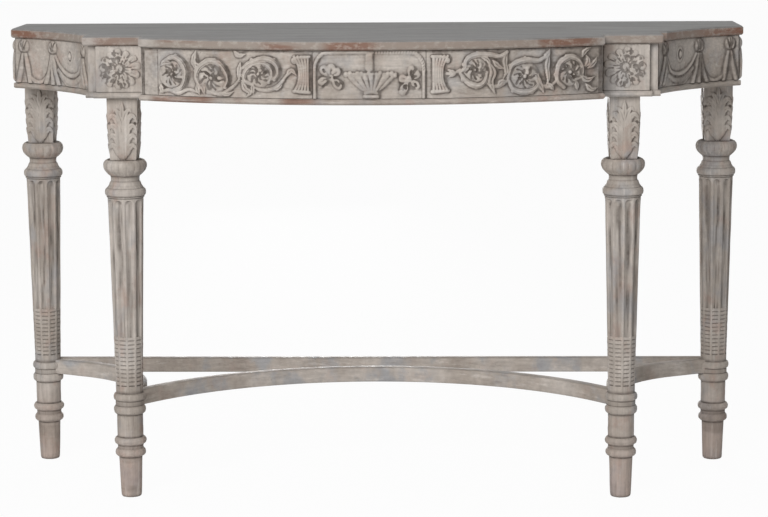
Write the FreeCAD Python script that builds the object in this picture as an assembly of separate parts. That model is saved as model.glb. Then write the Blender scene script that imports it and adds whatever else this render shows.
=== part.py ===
import FreeCAD, Part
import math
import os

V = FreeCAD.Vector
os.makedirs("parts", exist_ok=True)

# Overall sizes, in millimetres: X runs along the table, the front looks to -Y, Z is up
table_height = 900.0
top_width = 1450.0
top_thickness = 18.0
top_edge_bevel = 3.0
frieze_height = 100.0
bead_height = 11.0
bead_projection = 5.0
bead_bevel = 3.5
board = 22.0

# Plan of the frame, measured from the ends of the top and the leg axes
front_leg_end_gap = 248.0
rear_leg_end_gap = 37.0
leg_depth = 332.0
rear_leg_inset = 44.0
block_width = 92.0
strip_width = 16.0
strip_setback = 10.0
overhang = 8.0
step_overhang = 4.0
centre_step = 49.0
centre_bow = 121.0
notch_depth = 75.0
notch_out = 13.0
end_return = 173.0
side_hollow = 17.0
back_inset = 6.0

# Boards inside the frieze
cheek_thickness = 29.0
cheek_lap = 52.0
post_depth = 62.0
cross_rail_width = 40.0
cross_rail_height = 28.0

# Turned legs, each round cut with this many sides
turning_sides = 16
leg_block_height = 120.0
leg_block_top = 58.0
leg_block_foot = 50.0
collar_height = 38.0
collar_diameter = 84.0
collar_notch_share = 0.93
collar_lobes = 16
collar_shares = [(0, 0), (0.12, 0.6), (0.45, 1), (0.7, 1), (1, 0.38)]
neck_height = 5.0
neck_diameter = 55.0
flare_height = 12.0
flare_diameter = 68.0
cap_ring_height = 18.0
cap_ring_diameter = 79.0
cap_seat_diameter = 70.0
shaft_top_diameter = 69.0
shaft_foot_diameter = 51.5
upper_ring_height = 17.0
upper_ring_diameter = 62.0
ring_groove_height = 8.0
ring_groove_diameter = 54.0
drum_height = 45.0
drum_diameter = 50.0
lower_ring_height = 15.0
lower_ring_diameter = 62.0
foot_groove_diameter = 47.0
foot_ring_height = 16.0
foot_ring_diameter = 59.0
foot_height = 80.0
foot_top_diameter = 45.0
foot_tip_diameter = 39.0
foot_tip_bevel = 2.0
ring_shares = [(0, 0), (0.2, 0.85), (0.8, 0.85), (1, 0)]

# Flutes, stopped above the filled lower end of the shaft
flute_count = 10
flute_width_share = 0.76
flute_floor_share = 0.4
flute_depth = 4.2
flute_top_gap = 6.0
stop_height = 112.0
stop_depth = 1.2

# Stretchers
stretcher_height = 29.0
stretcher_foot = 181.0
stretcher_thickness = 25.0
stretcher_gap = 0.4
front_stretcher_sag = 258.0
front_stretcher_lead = 18.0
side_stretcher_bow = 90.0

# Carving laid on the frieze
relief = 5.0
border = 5.0
border_rise = 2.5
tablet_width = 203.0
tablet_margin = 2.0
tablet_corner = 16.0
urn_rim_width = 112.0
urn_rim_height = 5.0
urn_bowl_height = 26.0
urn_belly_width = 76.0
urn_stem_width = 20.0
urn_stem_height = 8.0
urn_foot_width = 46.0
urn_foot_height = 6.0
urn_post_width = 14.0
urn_post_height = 24.0
spool_width = 28.0
spool_waist = 15.0
spool_flare = 9.0
spool_gap = 8.0
spool_margin = 7.0
scroll_count = 3
scroll_radius = 36.0
scroll_turns = 1.25
scroll_sides = 8
scroll_band = 6.5
scroll_eye = 12.0
scroll_margin = 5.0
rosette_diameter = 78.0
rosette_notch_diameter = 62.0
rosette_thickness = 5.0
rosette_petals = 12
rosette_ring_diameter = 46.0
rosette_ring_rise = 2.0
rosette_boss_diameter = 22.0
rosette_boss_rise = 3.0
swag_band = 13.0
swag_drop = 34.0
swag_margin = 14.0
knot_diameter = 18.0
knot_sides = 6
swag_steps = 4
tail_length = 46.0
tail_width = 12.0

# Fixings
leg_tenon_width = 20.0
leg_tenon_length = 62.0
stretcher_tenon_width = 10.0
stretcher_tenon_height = 17.0
stretcher_tenon_length = 36.0
glue_block_length = 60.0
glue_block_width = 25.0
glue_block_height = 40.0
glue_block_spacing = 250.0
fit_clearance = 0.2
cope_clearance = 0.3
overrun = 30.0

# Levels
top_z = table_height - top_thickness
frieze_z = top_z - frieze_height
board_z = frieze_z + bead_height
board_height = frieze_height - bead_height
frieze_mid_z = board_z + board_height / 2
stretcher_z = stretcher_foot + stretcher_height / 2

# Plan lines, with the origin under the middle of the top
depth = rear_leg_inset + leg_depth + block_width / 2 + overhang + centre_step + centre_bow
back_y = depth / 2
rear_leg_y = back_y - rear_leg_inset
front_leg_y = rear_leg_y - leg_depth
back_face_y = back_y - back_inset
end_x = top_width / 2
front_leg_x = end_x - front_leg_end_gap
rear_leg_x = end_x - rear_leg_end_gap
block_front_y = front_leg_y - block_width / 2
block_back_y = front_leg_y + block_width / 2
block_inner_x = front_leg_x - block_width / 2
block_outer_x = front_leg_x + block_width / 2
strip_outer_x = block_outer_x + strip_width
strip_front_y = block_front_y + strip_setback
end_face_x = end_x - overhang
end_inner_x = end_face_x - board
post_inner_x = end_face_x - leg_block_top
post_front_y = back_face_y - post_depth
cheek_inner_x = block_inner_x - cheek_thickness

# Bow of the centre: one circle about a point on the middle line
top_block_y = block_front_y - overhang
top_step_x = block_inner_x + step_overhang
top_step_y = top_block_y - centre_step
bow_radius = (top_step_x ** 2 + centre_bow ** 2) / (2 * centre_bow)
bow_y = top_step_y - centre_bow + bow_radius
face_radius = bow_radius - overhang

# Hollow of the side: one circle about a point outside the table
top_notch_x = strip_outer_x + overhang
top_curve_x = top_notch_x + notch_out
top_curve_y = top_block_y + notch_depth
end_y = back_y - end_return
chord = V(end_x - top_curve_x, end_y - top_curve_y, 0)
hollow_radius = (chord.Length ** 2 / 4 + side_hollow ** 2) / (2 * side_hollow)
inward = V(-chord.y, chord.x, 0).normalize()
hollow_mid = V((end_x + top_curve_x) / 2, (end_y + top_curve_y) / 2, 0)
hollow_centre = hollow_mid - inward * (hollow_radius - side_hollow)
hollow_face = hollow_radius + overhang


def line(start, end):
    return Part.LineSegment(start, end).toShape()


def arc(start, middle, end):
    return Part.Arc(start, middle, end).toShape()


def loop(*points):
    return [line(a, b) for a, b in zip(points, points[1:] + points[:1])]


def prism(edges, z, height):
    face = Part.Face(Part.Wire(edges))
    face.translate(V(0, 0, z))
    return face.extrude(V(0, 0, height))


def relief_prism(edges):
    # an outline drawn in X and Z, run through the depth of the table
    face = Part.Face(Part.Wire(edges))
    face.translate(V(0, -depth, 0))
    return face.extrude(V(0, depth, 0))


def box(x0, x1, y0, y1, z0, z1):
    return Part.makeBox(x1 - x0, y1 - y0, z1 - z0, V(x0, y0, z0))


def mirrored(shape):
    return shape.mirror(V(0, 0, 0), V(1, 0, 0))


def fuse_all(shapes):
    return shapes[0].multiFuse(shapes[1:]).removeSplitter()


def bow_point(x, radius):
    return V(x, bow_y - math.sqrt(radius ** 2 - x ** 2), 0)


def bow_arc(x0, x1, radius):
    return arc(bow_point(x0, radius), bow_point((x0 + x1) / 2, radius), bow_point(x1, radius))


def hollow_point(x, radius):
    return V(x, hollow_centre.y + math.sqrt(radius ** 2 - (x - hollow_centre.x) ** 2), 0)


def hollow_arc(x0, x1, radius):
    middle = hollow_point((x0 + x1) / 2, radius)
    return arc(hollow_point(x0, radius), middle, hollow_point(x1, radius))


def hollow_x(y, radius):
    return hollow_centre.x - math.sqrt(radius ** 2 - (y - hollow_centre.y) ** 2)


def bevelled(solid, size, chosen):
    return solid.makeChamfer(size, [edge for edge in solid.Edges if chosen(edge)])


def tenon_along(centre, direction, width, height, length):
    # a loose tenon: a flat block that runs along a level direction
    tenon = Part.makeBox(length, width, height, V(-length / 2, -width / 2, -height / 2))
    tenon.rotate(V(0, 0, 0), V(0, 0, 1), math.degrees(math.atan2(direction.y, direction.x)))
    tenon.translate(centre)
    return tenon


def polygon(radius, sides, turn_share):
    turns = [2 * math.pi * (number + turn_share) / sides for number in range(sides)]
    return [V(radius * math.cos(turn), radius * math.sin(turn), 0) for turn in turns]


# Where the side boards end against the straight ends
end_joint_y = hollow_point(end_face_x, hollow_face).y
strip_back_y = hollow_point(strip_outer_x, hollow_face + board).y


def make_top():
    half = [
        bow_point(top_step_x, bow_radius),
        V(top_step_x, top_block_y, 0),
        V(top_notch_x, top_block_y, 0),
        V(top_notch_x, top_curve_y, 0),
        V(top_curve_x, top_curve_y, 0),
        V(end_x, end_y, 0),
        V(end_x, back_y, 0),
    ]
    right = [line(a, b) for a, b in zip(half[:4], half[1:5])]
    right.append(hollow_arc(top_curve_x, end_x, hollow_radius))
    right.append(line(half[5], half[6]))
    left = [mirrored(edge) for edge in right]
    edges = right + left + [bow_arc(-top_step_x, top_step_x, bow_radius)]
    edges.append(line(half[6], V(-end_x, back_y, 0)))
    solid = prism(Part.__sortEdges__(edges), top_z, top_thickness)
    return bevelled(solid, top_edge_bevel, is_show_edge)


def is_show_edge(edge):
    # rim edges of the top, apart from those along the wall
    box_of = edge.BoundBox
    return box_of.ZLength < top_edge_bevel and box_of.YMin < back_y - top_edge_bevel


def make_centre_frieze():
    edges = [
        bow_arc(-cheek_inner_x, cheek_inner_x, face_radius),
        line(bow_point(cheek_inner_x, face_radius), bow_point(cheek_inner_x, face_radius - board)),
        bow_arc(cheek_inner_x, -cheek_inner_x, face_radius - board),
        line(bow_point(-cheek_inner_x, face_radius - board), bow_point(-cheek_inner_x, face_radius)),
    ]
    return prism(edges, board_z, board_height)


def make_cheek():
    back = block_front_y + cheek_lap
    edges = [
        bow_arc(cheek_inner_x, block_inner_x, face_radius),
        line(bow_point(block_inner_x, face_radius), V(block_inner_x, back, 0)),
        line(V(block_inner_x, back, 0), V(cheek_inner_x, back, 0)),
        line(V(cheek_inner_x, back, 0), bow_point(cheek_inner_x, face_radius)),
    ]
    return prism(edges, board_z, board_height)


def make_centre_bead():
    outer_x = block_inner_x + bead_projection
    outer_radius = face_radius + bead_projection
    plinth_y = block_front_y - bead_projection
    back = block_front_y + cheek_lap
    half = [
        bow_point(outer_x, outer_radius),
        V(outer_x, plinth_y, 0),
        V(block_inner_x, plinth_y, 0),
        V(block_inner_x, back, 0),
        V(cheek_inner_x, back, 0),
        bow_point(cheek_inner_x, face_radius - board),
    ]
    right = [line(a, b) for a, b in zip(half, half[1:])]
    left = [mirrored(edge) for edge in right]
    edges = right + left + [bow_arc(-outer_x, outer_x, outer_radius)]
    edges.append(bow_arc(-cheek_inner_x, cheek_inner_x, face_radius - board))
    solid = prism(Part.__sortEdges__(edges), frieze_z, bead_height)
    return bevelled(solid, bead_bevel, is_centre_bead_edge)


def is_centre_bead_edge(edge):
    # the front arc and the two short returns, above and below
    box_of = edge.BoundBox
    level = box_of.ZLength < bead_projection
    outer_x = block_inner_x + bead_projection
    front_arc = box_of.XLength > 2 * block_inner_x
    side = box_of.XLength < bead_projection and abs(abs(edge.CenterOfMass.x) - outer_x) < bead_projection / 2
    return level and (front_arc or side)


def make_corner_block():
    square = box(block_inner_x, block_outer_x, block_front_y, block_back_y, board_z, top_z)
    strip = box(block_outer_x, strip_outer_x, strip_front_y, strip_back_y, board_z, top_z)
    return square.fuse(strip).removeSplitter()


def make_plinth():
    outer = V(block_outer_x + bead_projection, block_front_y - bead_projection, 0)
    step_y = strip_front_y - bead_projection
    side_x = strip_outer_x + bead_projection
    edges = loop(
        V(block_inner_x, outer.y, 0),
        outer,
        V(outer.x, step_y, 0),
        V(side_x, step_y, 0),
        V(side_x, strip_back_y, 0),
        V(block_outer_x, strip_back_y, 0),
        V(block_outer_x, block_back_y, 0),
        V(block_inner_x, block_back_y, 0),
    )
    solid = prism(edges, frieze_z, bead_height)
    return bevelled(solid, bead_bevel, is_plinth_edge)


def is_plinth_edge(edge):
    # front edges of the block and of its strip
    box_of = edge.BoundBox
    level = box_of.ZLength < bead_projection and box_of.YLength < bead_projection
    return level and box_of.YMax < strip_front_y


def make_side_frieze():
    inner = hollow_face + board
    inner_end_x = hollow_x(end_joint_y, inner)
    edges = [
        hollow_arc(strip_outer_x, end_face_x, hollow_face),
        line(V(end_face_x, end_joint_y, 0), V(inner_end_x, end_joint_y, 0)),
        hollow_arc(inner_end_x, strip_outer_x, inner),
        line(hollow_point(strip_outer_x, inner), hollow_point(strip_outer_x, hollow_face)),
    ]
    return prism(edges, board_z, board_height)


def make_side_bead():
    inner = hollow_face + board
    outer = hollow_face - bead_projection
    inner_end_x = hollow_x(end_joint_y, inner)
    start_x = strip_outer_x + bead_projection
    outer_end_x = end_face_x + bead_projection
    edges = [
        hollow_arc(start_x, outer_end_x, outer),
        line(hollow_point(outer_end_x, outer), V(outer_end_x, end_joint_y, 0)),
        line(V(outer_end_x, end_joint_y, 0), V(inner_end_x, end_joint_y, 0)),
        hollow_arc(inner_end_x, start_x, inner),
        line(hollow_point(start_x, inner), hollow_point(start_x, outer)),
    ]
    solid = prism(edges, frieze_z, bead_height)
    return bevelled(solid, bead_bevel, is_side_bead_edge)


def is_side_bead_edge(edge):
    # the long hollow edge on the show side, above and below
    box_of = edge.BoundBox
    show_x = end_face_x + bead_projection / 2
    return box_of.ZLength < bead_projection and box_of.YLength > board and box_of.XMax > show_x


def make_end_frieze():
    return box(end_inner_x, end_face_x, end_joint_y, post_front_y, board_z, top_z)


def make_end_bead():
    # the bead widens into a plate between the rear leg and its post
    outer_x = end_face_x + bead_projection
    edges = loop(
        V(end_inner_x, end_joint_y, 0),
        V(outer_x, end_joint_y, 0),
        V(outer_x, back_face_y, 0),
        V(post_inner_x, back_face_y, 0),
        V(post_inner_x, post_front_y, 0),
        V(end_inner_x, post_front_y, 0),
    )
    return bevelled(prism(edges, frieze_z, bead_height), bead_bevel, is_end_bead_edge)


def is_end_bead_edge(edge):
    box_of = edge.BoundBox
    return box_of.YLength > board and box_of.XMin > end_face_x


def make_post():
    return box(post_inner_x, end_face_x, post_front_y, back_face_y, board_z, top_z)


def make_back_rail():
    return box(-post_inner_x, post_inner_x, back_face_y - board, back_face_y, board_z, top_z)


def make_cross_rail():
    half = cross_rail_width / 2
    x0 = front_leg_x - half
    x1 = front_leg_x + half
    return box(x0, x1, block_back_y, back_face_y - board, top_z - cross_rail_height, top_z)


# Levels of the turned leg, from the floor up
foot_ring_z = foot_height
lower_ring_z = foot_ring_z + foot_ring_height + ring_groove_height
drum_z = lower_ring_z + lower_ring_height
second_ring_z = drum_z + drum_height
upper_ring_z = second_ring_z + upper_ring_height + ring_groove_height
shaft_z = upper_ring_z + upper_ring_height
block_z = frieze_z - leg_block_height
collar_z = block_z - collar_height
neck_z = collar_z - neck_height
flare_z = neck_z - flare_height
cap_ring_z = flare_z - cap_ring_height
flute_z = shaft_z + stop_height
flute_head_z = cap_ring_z - flute_top_gap


def at(diameter, z):
    return V(diameter / 2, 0, z)


def ring(z, height, seat, widest):
    # a round ring in straight facets, from the seat below to the seat above
    return [at(seat + (widest - seat) * out, z + height * up) for up, out in ring_shares]


def stack(slices):
    # a solid with flat sides through slices of one form and different sizes
    faces = [Part.Face(Part.Wire(loop(*slices[0][::-1]))), Part.Face(Part.Wire(loop(*slices[-1])))]
    for low, high in zip(slices, slices[1:]):
        for side in range(len(low)):
            corners = [low[side - 1], low[side], high[side], high[side - 1]]
            faces.append(Part.Face(Part.Wire(loop(*corners))))
    return Part.Solid(Part.Shell(faces))


def round_slice(point):
    return [corner + V(0, 0, point.z) for corner in polygon(point.x, turning_sides, 0)]


def turned(points):
    # stages of the turning, parted wherever the diameter steps at one level
    stages = [[points[0]]]
    for point in points[1:]:
        if point.z == stages[-1][-1].z:
            stages.append([])
        stages[-1].append(point)
    return [stack([round_slice(point) for point in stage]) for stage in stages]


def shaft_diameter(z):
    share = (z - shaft_z) / (cap_ring_z - shaft_z)
    return shaft_foot_diameter + (shaft_top_diameter - shaft_foot_diameter) * share


def lower_leg():
    return turned([
        at(foot_tip_diameter - 2 * foot_tip_bevel, 0),
        at(foot_tip_diameter, foot_tip_bevel),
        at(foot_top_diameter, foot_ring_z),
        *ring(foot_ring_z, foot_ring_height, foot_groove_diameter, foot_ring_diameter),
        at(foot_groove_diameter, lower_ring_z),
        *ring(lower_ring_z, lower_ring_height, drum_diameter, lower_ring_diameter),
        *ring(second_ring_z, upper_ring_height, drum_diameter, upper_ring_diameter),
        at(ring_groove_diameter, second_ring_z + upper_ring_height),
        *ring(upper_ring_z, upper_ring_height, ring_groove_diameter, upper_ring_diameter),
    ])


def upper_leg():
    return turned([
        at(shaft_diameter(flute_head_z), flute_head_z),
        at(shaft_top_diameter, cap_ring_z),
        *ring(cap_ring_z, cap_ring_height, cap_seat_diameter, cap_ring_diameter),
        at(flare_diameter, flare_z),
        at(neck_diameter, neck_z),
        at(neck_diameter, collar_z),
    ])


def fluted_slice(z, cut):
    # a flat between two flutes, then down to the floor of a flute and up
    radius = shaft_diameter(z) / 2
    floor = radius - cut * shaft_diameter(z) / shaft_top_diameter
    step = 2 * math.pi / flute_count
    corners = []
    for flute in range(flute_count):
        for share, reach in ((-flute_width_share, radius), (-flute_floor_share, floor),
                             (flute_floor_share, floor), (flute_width_share, radius)):
            turn = (flute + share / 2) * step
            corners.append(V(reach * math.cos(turn), reach * math.sin(turn), z))
    return corners


def collar_slice(up, out):
    # lobes with a notch between each two
    crest = (neck_diameter + (collar_diameter - neck_diameter) * out) / 2
    tips = polygon(crest, collar_lobes, 0)
    dips = polygon(crest * collar_notch_share, collar_lobes, 1 / 2)
    lift = V(0, 0, collar_z + collar_height * up)
    return [corner + lift for pair in zip(tips, dips) for corner in pair]


def block_slice(width, z):
    half = width / 2
    return [V(-half, -half, z), V(half, -half, z), V(half, half, z), V(-half, half, z)]


def make_leg():
    fluted = stack([fluted_slice(z, flute_depth) for z in (flute_z, flute_head_z)])
    stopped = stack([fluted_slice(z, stop_depth) for z in (shaft_z, flute_z)])
    collar = stack([collar_slice(up, out) for up, out in collar_shares])
    block = stack([block_slice(leg_block_foot, block_z), block_slice(leg_block_top, frieze_z)])
    stages = lower_leg() + [stopped, fluted] + upper_leg() + [collar, block]
    return stages[0].multiFuse(stages[1:])


def leg_places():
    return {
        "front_left": V(-front_leg_x, front_leg_y, 0),
        "front_right": V(front_leg_x, front_leg_y, 0),
        "rear_left": V(-rear_leg_x, rear_leg_y, 0),
        "rear_right": V(rear_leg_x, rear_leg_y, 0),
    }


# Stretcher lines
cope_radius = upper_ring_diameter / 2 + cope_clearance
half_stretcher = stretcher_thickness / 2
pair_offset = half_stretcher + stretcher_gap / 2
back_stretcher_y = rear_leg_y + pair_offset
front_stretcher_radius = (front_leg_x ** 2 + front_stretcher_sag ** 2) / (2 * front_stretcher_sag)
front_centre_y = front_leg_y - front_stretcher_lead + front_stretcher_sag - front_stretcher_radius
side_start = V(front_leg_x, front_leg_y, 0)
side_end = V(rear_leg_x, rear_leg_y - pair_offset, 0)
side_chord = side_end - side_start
side_radius = (side_chord.Length ** 2 / 4 + side_stretcher_bow ** 2) / (2 * side_stretcher_bow)
side_inward = V(-side_chord.y, side_chord.x, 0).normalize()
side_middle = (side_start + side_end) / 2 + side_inward * side_stretcher_bow
side_centre = side_middle - side_inward * side_radius


def coped(stretcher, legs):
    corners = polygon(cope_radius, turning_sides, 0)
    posts = [prism(loop(*[place + corner for corner in corners]), 0, table_height) for place in legs]
    return stretcher.cut(posts)


def make_back_stretcher(places):
    y0 = back_stretcher_y - half_stretcher
    y1 = back_stretcher_y + half_stretcher
    bar = box(-rear_leg_x, rear_leg_x, y0, y1, stretcher_foot, stretcher_foot + stretcher_height)
    return coped(bar, [places["rear_left"], places["rear_right"]])


def side_bar(half):
    # a curved bar between the axes of a front and a rear leg
    def at_radius(point, radius):
        return side_centre + (point - side_centre).normalize() * radius

    inner = [at_radius(point, side_radius - half) for point in (side_start, side_middle, side_end)]
    outer = [at_radius(point, side_radius + half) for point in (side_start, side_middle, side_end)]
    edges = [arc(*inner), line(inner[2], outer[2]), arc(*outer[::-1]), line(outer[0], inner[0])]
    return prism(edges, stretcher_foot, stretcher_height)


def make_side_stretcher(places):
    return coped(side_bar(half_stretcher), [places["front_right"], places["rear_right"]])


def front_stretcher_point(x, radius):
    return V(x, front_centre_y + math.sqrt(radius ** 2 - x ** 2), 0)


def make_front_stretcher(places):
    outer = front_stretcher_radius + half_stretcher
    inner = front_stretcher_radius - half_stretcher

    def bend(radius):
        middle = V(0, front_centre_y + radius, 0)
        return arc(front_stretcher_point(-front_leg_x, radius), middle, front_stretcher_point(front_leg_x, radius))

    edges = [
        bend(outer),
        line(front_stretcher_point(front_leg_x, outer), front_stretcher_point(front_leg_x, inner)),
        bend(inner),
        line(front_stretcher_point(-front_leg_x, inner), front_stretcher_point(-front_leg_x, outer)),
    ]
    bar = coped(prism(Part.__sortEdges__(edges), stretcher_foot, stretcher_height),
                [places["front_left"], places["front_right"]])
    neighbour = side_bar(half_stretcher + stretcher_gap)
    bar = bar.cut([neighbour, mirrored(neighbour)])
    return max(bar.Solids, key=lambda solid: solid.Volume)


def stretcher_joints():
    # right half: where each tenon crosses the ring of its leg, and its direction
    ring = upper_ring_diameter / 2
    seat_x = rear_leg_x - math.sqrt(ring ** 2 - pair_offset ** 2)
    front_x = front_leg_x - ring * math.sqrt(0.5)
    front = front_stretcher_point(front_x, front_stretcher_radius)
    front_way = V(front.y - front_centre_y, -front.x, 0)
    start_way = V(side_start.y - side_centre.y, side_centre.x - side_start.x, 0).normalize()
    end_way = V(side_end.y - side_centre.y, side_centre.x - side_end.x, 0)
    rear = V(seat_x, side_end.y + (seat_x - rear_leg_x) * end_way.y / end_way.x, 0)
    lift = V(0, 0, stretcher_z)
    return [
        (V(seat_x, back_stretcher_y, stretcher_z), V(1, 0, 0)),
        (rear + lift, end_way),
        (side_start + start_way * ring + lift, start_way),
        (front + lift, front_way),
    ]


def stretcher_tenons(clearance):
    width = stretcher_tenon_width + 2 * clearance
    height = stretcher_tenon_height + 2 * clearance
    length = stretcher_tenon_length + 2 * clearance
    right = [tenon_along(centre, way, width, height, length) for centre, way in stretcher_joints()]
    return right + [mirrored(tenon) for tenon in right]


def leg_tenons(clearance):
    width = leg_tenon_width + 2 * clearance
    length = leg_tenon_length + 2 * clearance
    return [tenon_along(place + V(0, 0, frieze_z), V(1, 0, 0), width, length, width)
            for place in leg_places().values()]


# Carving: each outline is run through the frieze and kept only in a thin shell on its face
def bow_shell(rise):
    outer = Part.makeCylinder(face_radius + rise, board_height, V(0, bow_y, board_z))
    return outer.cut(Part.makeCylinder(face_radius, board_height, V(0, bow_y, board_z)))


def hollow_shell(rise):
    foot = V(hollow_centre.x, hollow_centre.y, board_z)
    outer = Part.makeCylinder(hollow_face, board_height, foot)
    return outer.cut(Part.makeCylinder(hollow_face - rise, board_height, foot))


def tablet_outline(inset):
    half = tablet_width / 2 - inset
    low = board_z + tablet_margin + inset
    high = top_z - tablet_margin - inset
    return loop(
        V(-half, 0, low),
        V(half, 0, low),
        V(half, 0, high - tablet_corner),
        V(half - tablet_corner, 0, high),
        V(-half + tablet_corner, 0, high),
        V(-half, 0, high - tablet_corner),
    )


def make_tablet():
    slab = relief_prism(tablet_outline(0)).common(bow_shell(relief))
    field = relief_prism(tablet_outline(border)).common(bow_shell(relief + overrun))
    return slab.cut(field.cut(bow_shell(relief - border_rise)))


def make_urn():
    z0 = board_z + tablet_margin + border
    stem_z = z0 + urn_foot_height
    bowl_z = stem_z + urn_stem_height
    rim_z = bowl_z + urn_bowl_height
    lip_z = rim_z + urn_rim_height
    foot = urn_foot_width / 2
    stem = urn_stem_width / 2
    rim = urn_rim_width / 2
    post = urn_post_width / 2
    right = [
        V(foot, 0, z0),
        V(foot, 0, stem_z),
        V(stem, 0, stem_z),
        V(stem, 0, bowl_z),
        V(urn_belly_width / 2, 0, bowl_z + urn_stem_height),
        V(rim, 0, rim_z),
        V(rim, 0, lip_z),
        V(post, 0, lip_z),
        V(post, 0, lip_z + urn_post_height),
    ]
    left = [V(-point.x, 0, point.z) for point in right[::-1]]
    field = relief - border_rise
    shell = bow_shell(field + relief).cut(bow_shell(field))
    return relief_prism(loop(*right, *left)).common(shell)


def make_spool():
    x0 = tablet_width / 2 + spool_gap
    x1 = x0 + spool_width
    low = board_z + spool_margin
    high = top_z - spool_margin
    return relief_prism(loop(
        V(x0, 0, low),
        V(x1, 0, low),
        V(x1, 0, low + spool_flare),
        V(x0 + spool_waist, 0, frieze_mid_z),
        V(x1, 0, high - spool_flare),
        V(x1, 0, high),
        V(x0, 0, high),
    )).common(bow_shell(relief))


def flat_outline(points, x):
    # corners given about a scroll's centre, stood up on the frieze
    return loop(*[V(x + point.x, 0, frieze_mid_z + point.y) for point in points])


def make_scroll(x, up):
    # a band that winds inwards
    steps = round(scroll_turns * scroll_sides)
    outer = []
    inner = []
    for step in range(steps + 1):
        turn = 2 * math.pi * step / scroll_sides
        radius = scroll_radius + (scroll_eye - scroll_radius) * step / steps
        way = V(-math.cos(turn), math.sin(turn) if up else -math.sin(turn), 0)
        outer.append(way * radius)
        inner.append(way * (radius - scroll_band))
    return relief_prism(flat_outline(outer + inner[::-1], x))


def make_scroll_panel():
    inner_x = tablet_width / 2 + spool_gap + spool_width + scroll_margin
    outer_x = cheek_inner_x - scroll_margin
    pitch = (outer_x - inner_x) / scroll_count
    half = scroll_band / 2
    clear = scroll_eye + (scroll_radius - scroll_eye) / 2
    stem = box(inner_x, outer_x, -depth, 0, frieze_mid_z - half, frieze_mid_z + half)
    pieces = []
    for number in range(scroll_count):
        x = inner_x + (number + 1 / 2) * pitch
        stem = stem.cut(relief_prism(flat_outline(polygon(clear, scroll_sides, 0), x)))
        pieces.append(make_scroll(x, number % 2 == 0))
    return fuse_all(pieces + stem.Solids).common(bow_shell(relief))


def make_rosette():
    # a ring of pointed petals, a raised inner ring and a boss
    tips = polygon(rosette_diameter / 2, rosette_petals, 0)
    notches = polygon(rosette_notch_diameter / 2, rosette_petals, 1 / 2)
    star = [corner for pair in zip(tips, notches) for corner in pair]
    ring_top = rosette_thickness + rosette_ring_rise
    ring_corners = polygon(rosette_ring_diameter / 2, rosette_petals, 1 / 2)
    boss_corners = polygon(rosette_boss_diameter / 2, rosette_petals, 0)
    flower = fuse_all([
        prism(loop(*star), 0, rosette_thickness),
        prism(loop(*ring_corners), 0, ring_top),
        prism(loop(*boss_corners), 0, ring_top + rosette_boss_rise),
    ])
    flower.rotate(V(0, 0, 0), V(1, 0, 0), 90)
    flower.translate(V(front_leg_x, block_front_y, frieze_mid_z))
    return flower


def make_swags():
    # drawn flat on the chord of the hollow side, then kept on its face
    start = hollow_point(strip_outer_x, hollow_face)
    end = V(end_face_x, end_joint_y, 0)
    along = (end - start).normalize()
    run = (end - start).Length - 2 * swag_margin
    knots = [swag_margin + run * knot / 2 for knot in range(3)]
    high = top_z - swag_margin - knot_diameter / 2

    def place(s, z):
        return start + along * s + V(0, 0, z)

    def cut_out(edges):
        face = Part.Face(Part.Wire(edges))
        face.translate(inward * -overrun)
        return face.extrude(inward * 2 * overrun)

    def sag(s0, s1, drop):
        # the hanging line between two knots, in straight steps
        shares = [step / swag_steps for step in range(swag_steps + 1)]
        return [place(s0 + (s1 - s0) * share, high - drop * 4 * share * (1 - share)) for share in shares]

    pieces = []
    for s0, s1 in zip(knots, knots[1:]):
        lower = sag(s0, s1, swag_drop + swag_band)
        pieces.append(cut_out(loop(*sag(s0, s1, swag_drop), *lower[-2:0:-1])))
    for s in knots:
        corners = polygon(knot_diameter / 2, knot_sides, 1 / 2)
        pieces.append(cut_out(loop(*[place(s + corner.x, high + corner.y) for corner in corners])))
        pieces.append(cut_out(loop(
            place(s - tail_width / 4, high),
            place(s + tail_width / 4, high),
            place(s + tail_width / 2, high - tail_length),
            place(s - tail_width / 2, high - tail_length),
        )))
    return fuse_all(pieces).common(hollow_shell(relief))


def make_glue_blocks():
    # under the top, three along the back rail and one on each cheek
    inner_y = back_face_y - board
    half = glue_block_length / 2
    low = top_z - glue_block_height
    blocks = []
    for x in (-glue_block_spacing, 0, glue_block_spacing):
        blocks.append(box(x - half, x + half, inner_y - glue_block_width, inner_y, low, top_z))
    back = block_front_y + cheek_lap
    right = box(cheek_inner_x - glue_block_width, cheek_inner_x, back - glue_block_length, back, low, top_z)
    return blocks + [right, mirrored(right)]


def write(name, shape):
    solids = shape.Solids if hasattr(shape, "Solids") else [one for part in shape for one in part.Solids]
    out = solids[0] if len(solids) == 1 else Part.makeCompound(solids)
    out.exportStep("parts/" + name + ".step")


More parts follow.
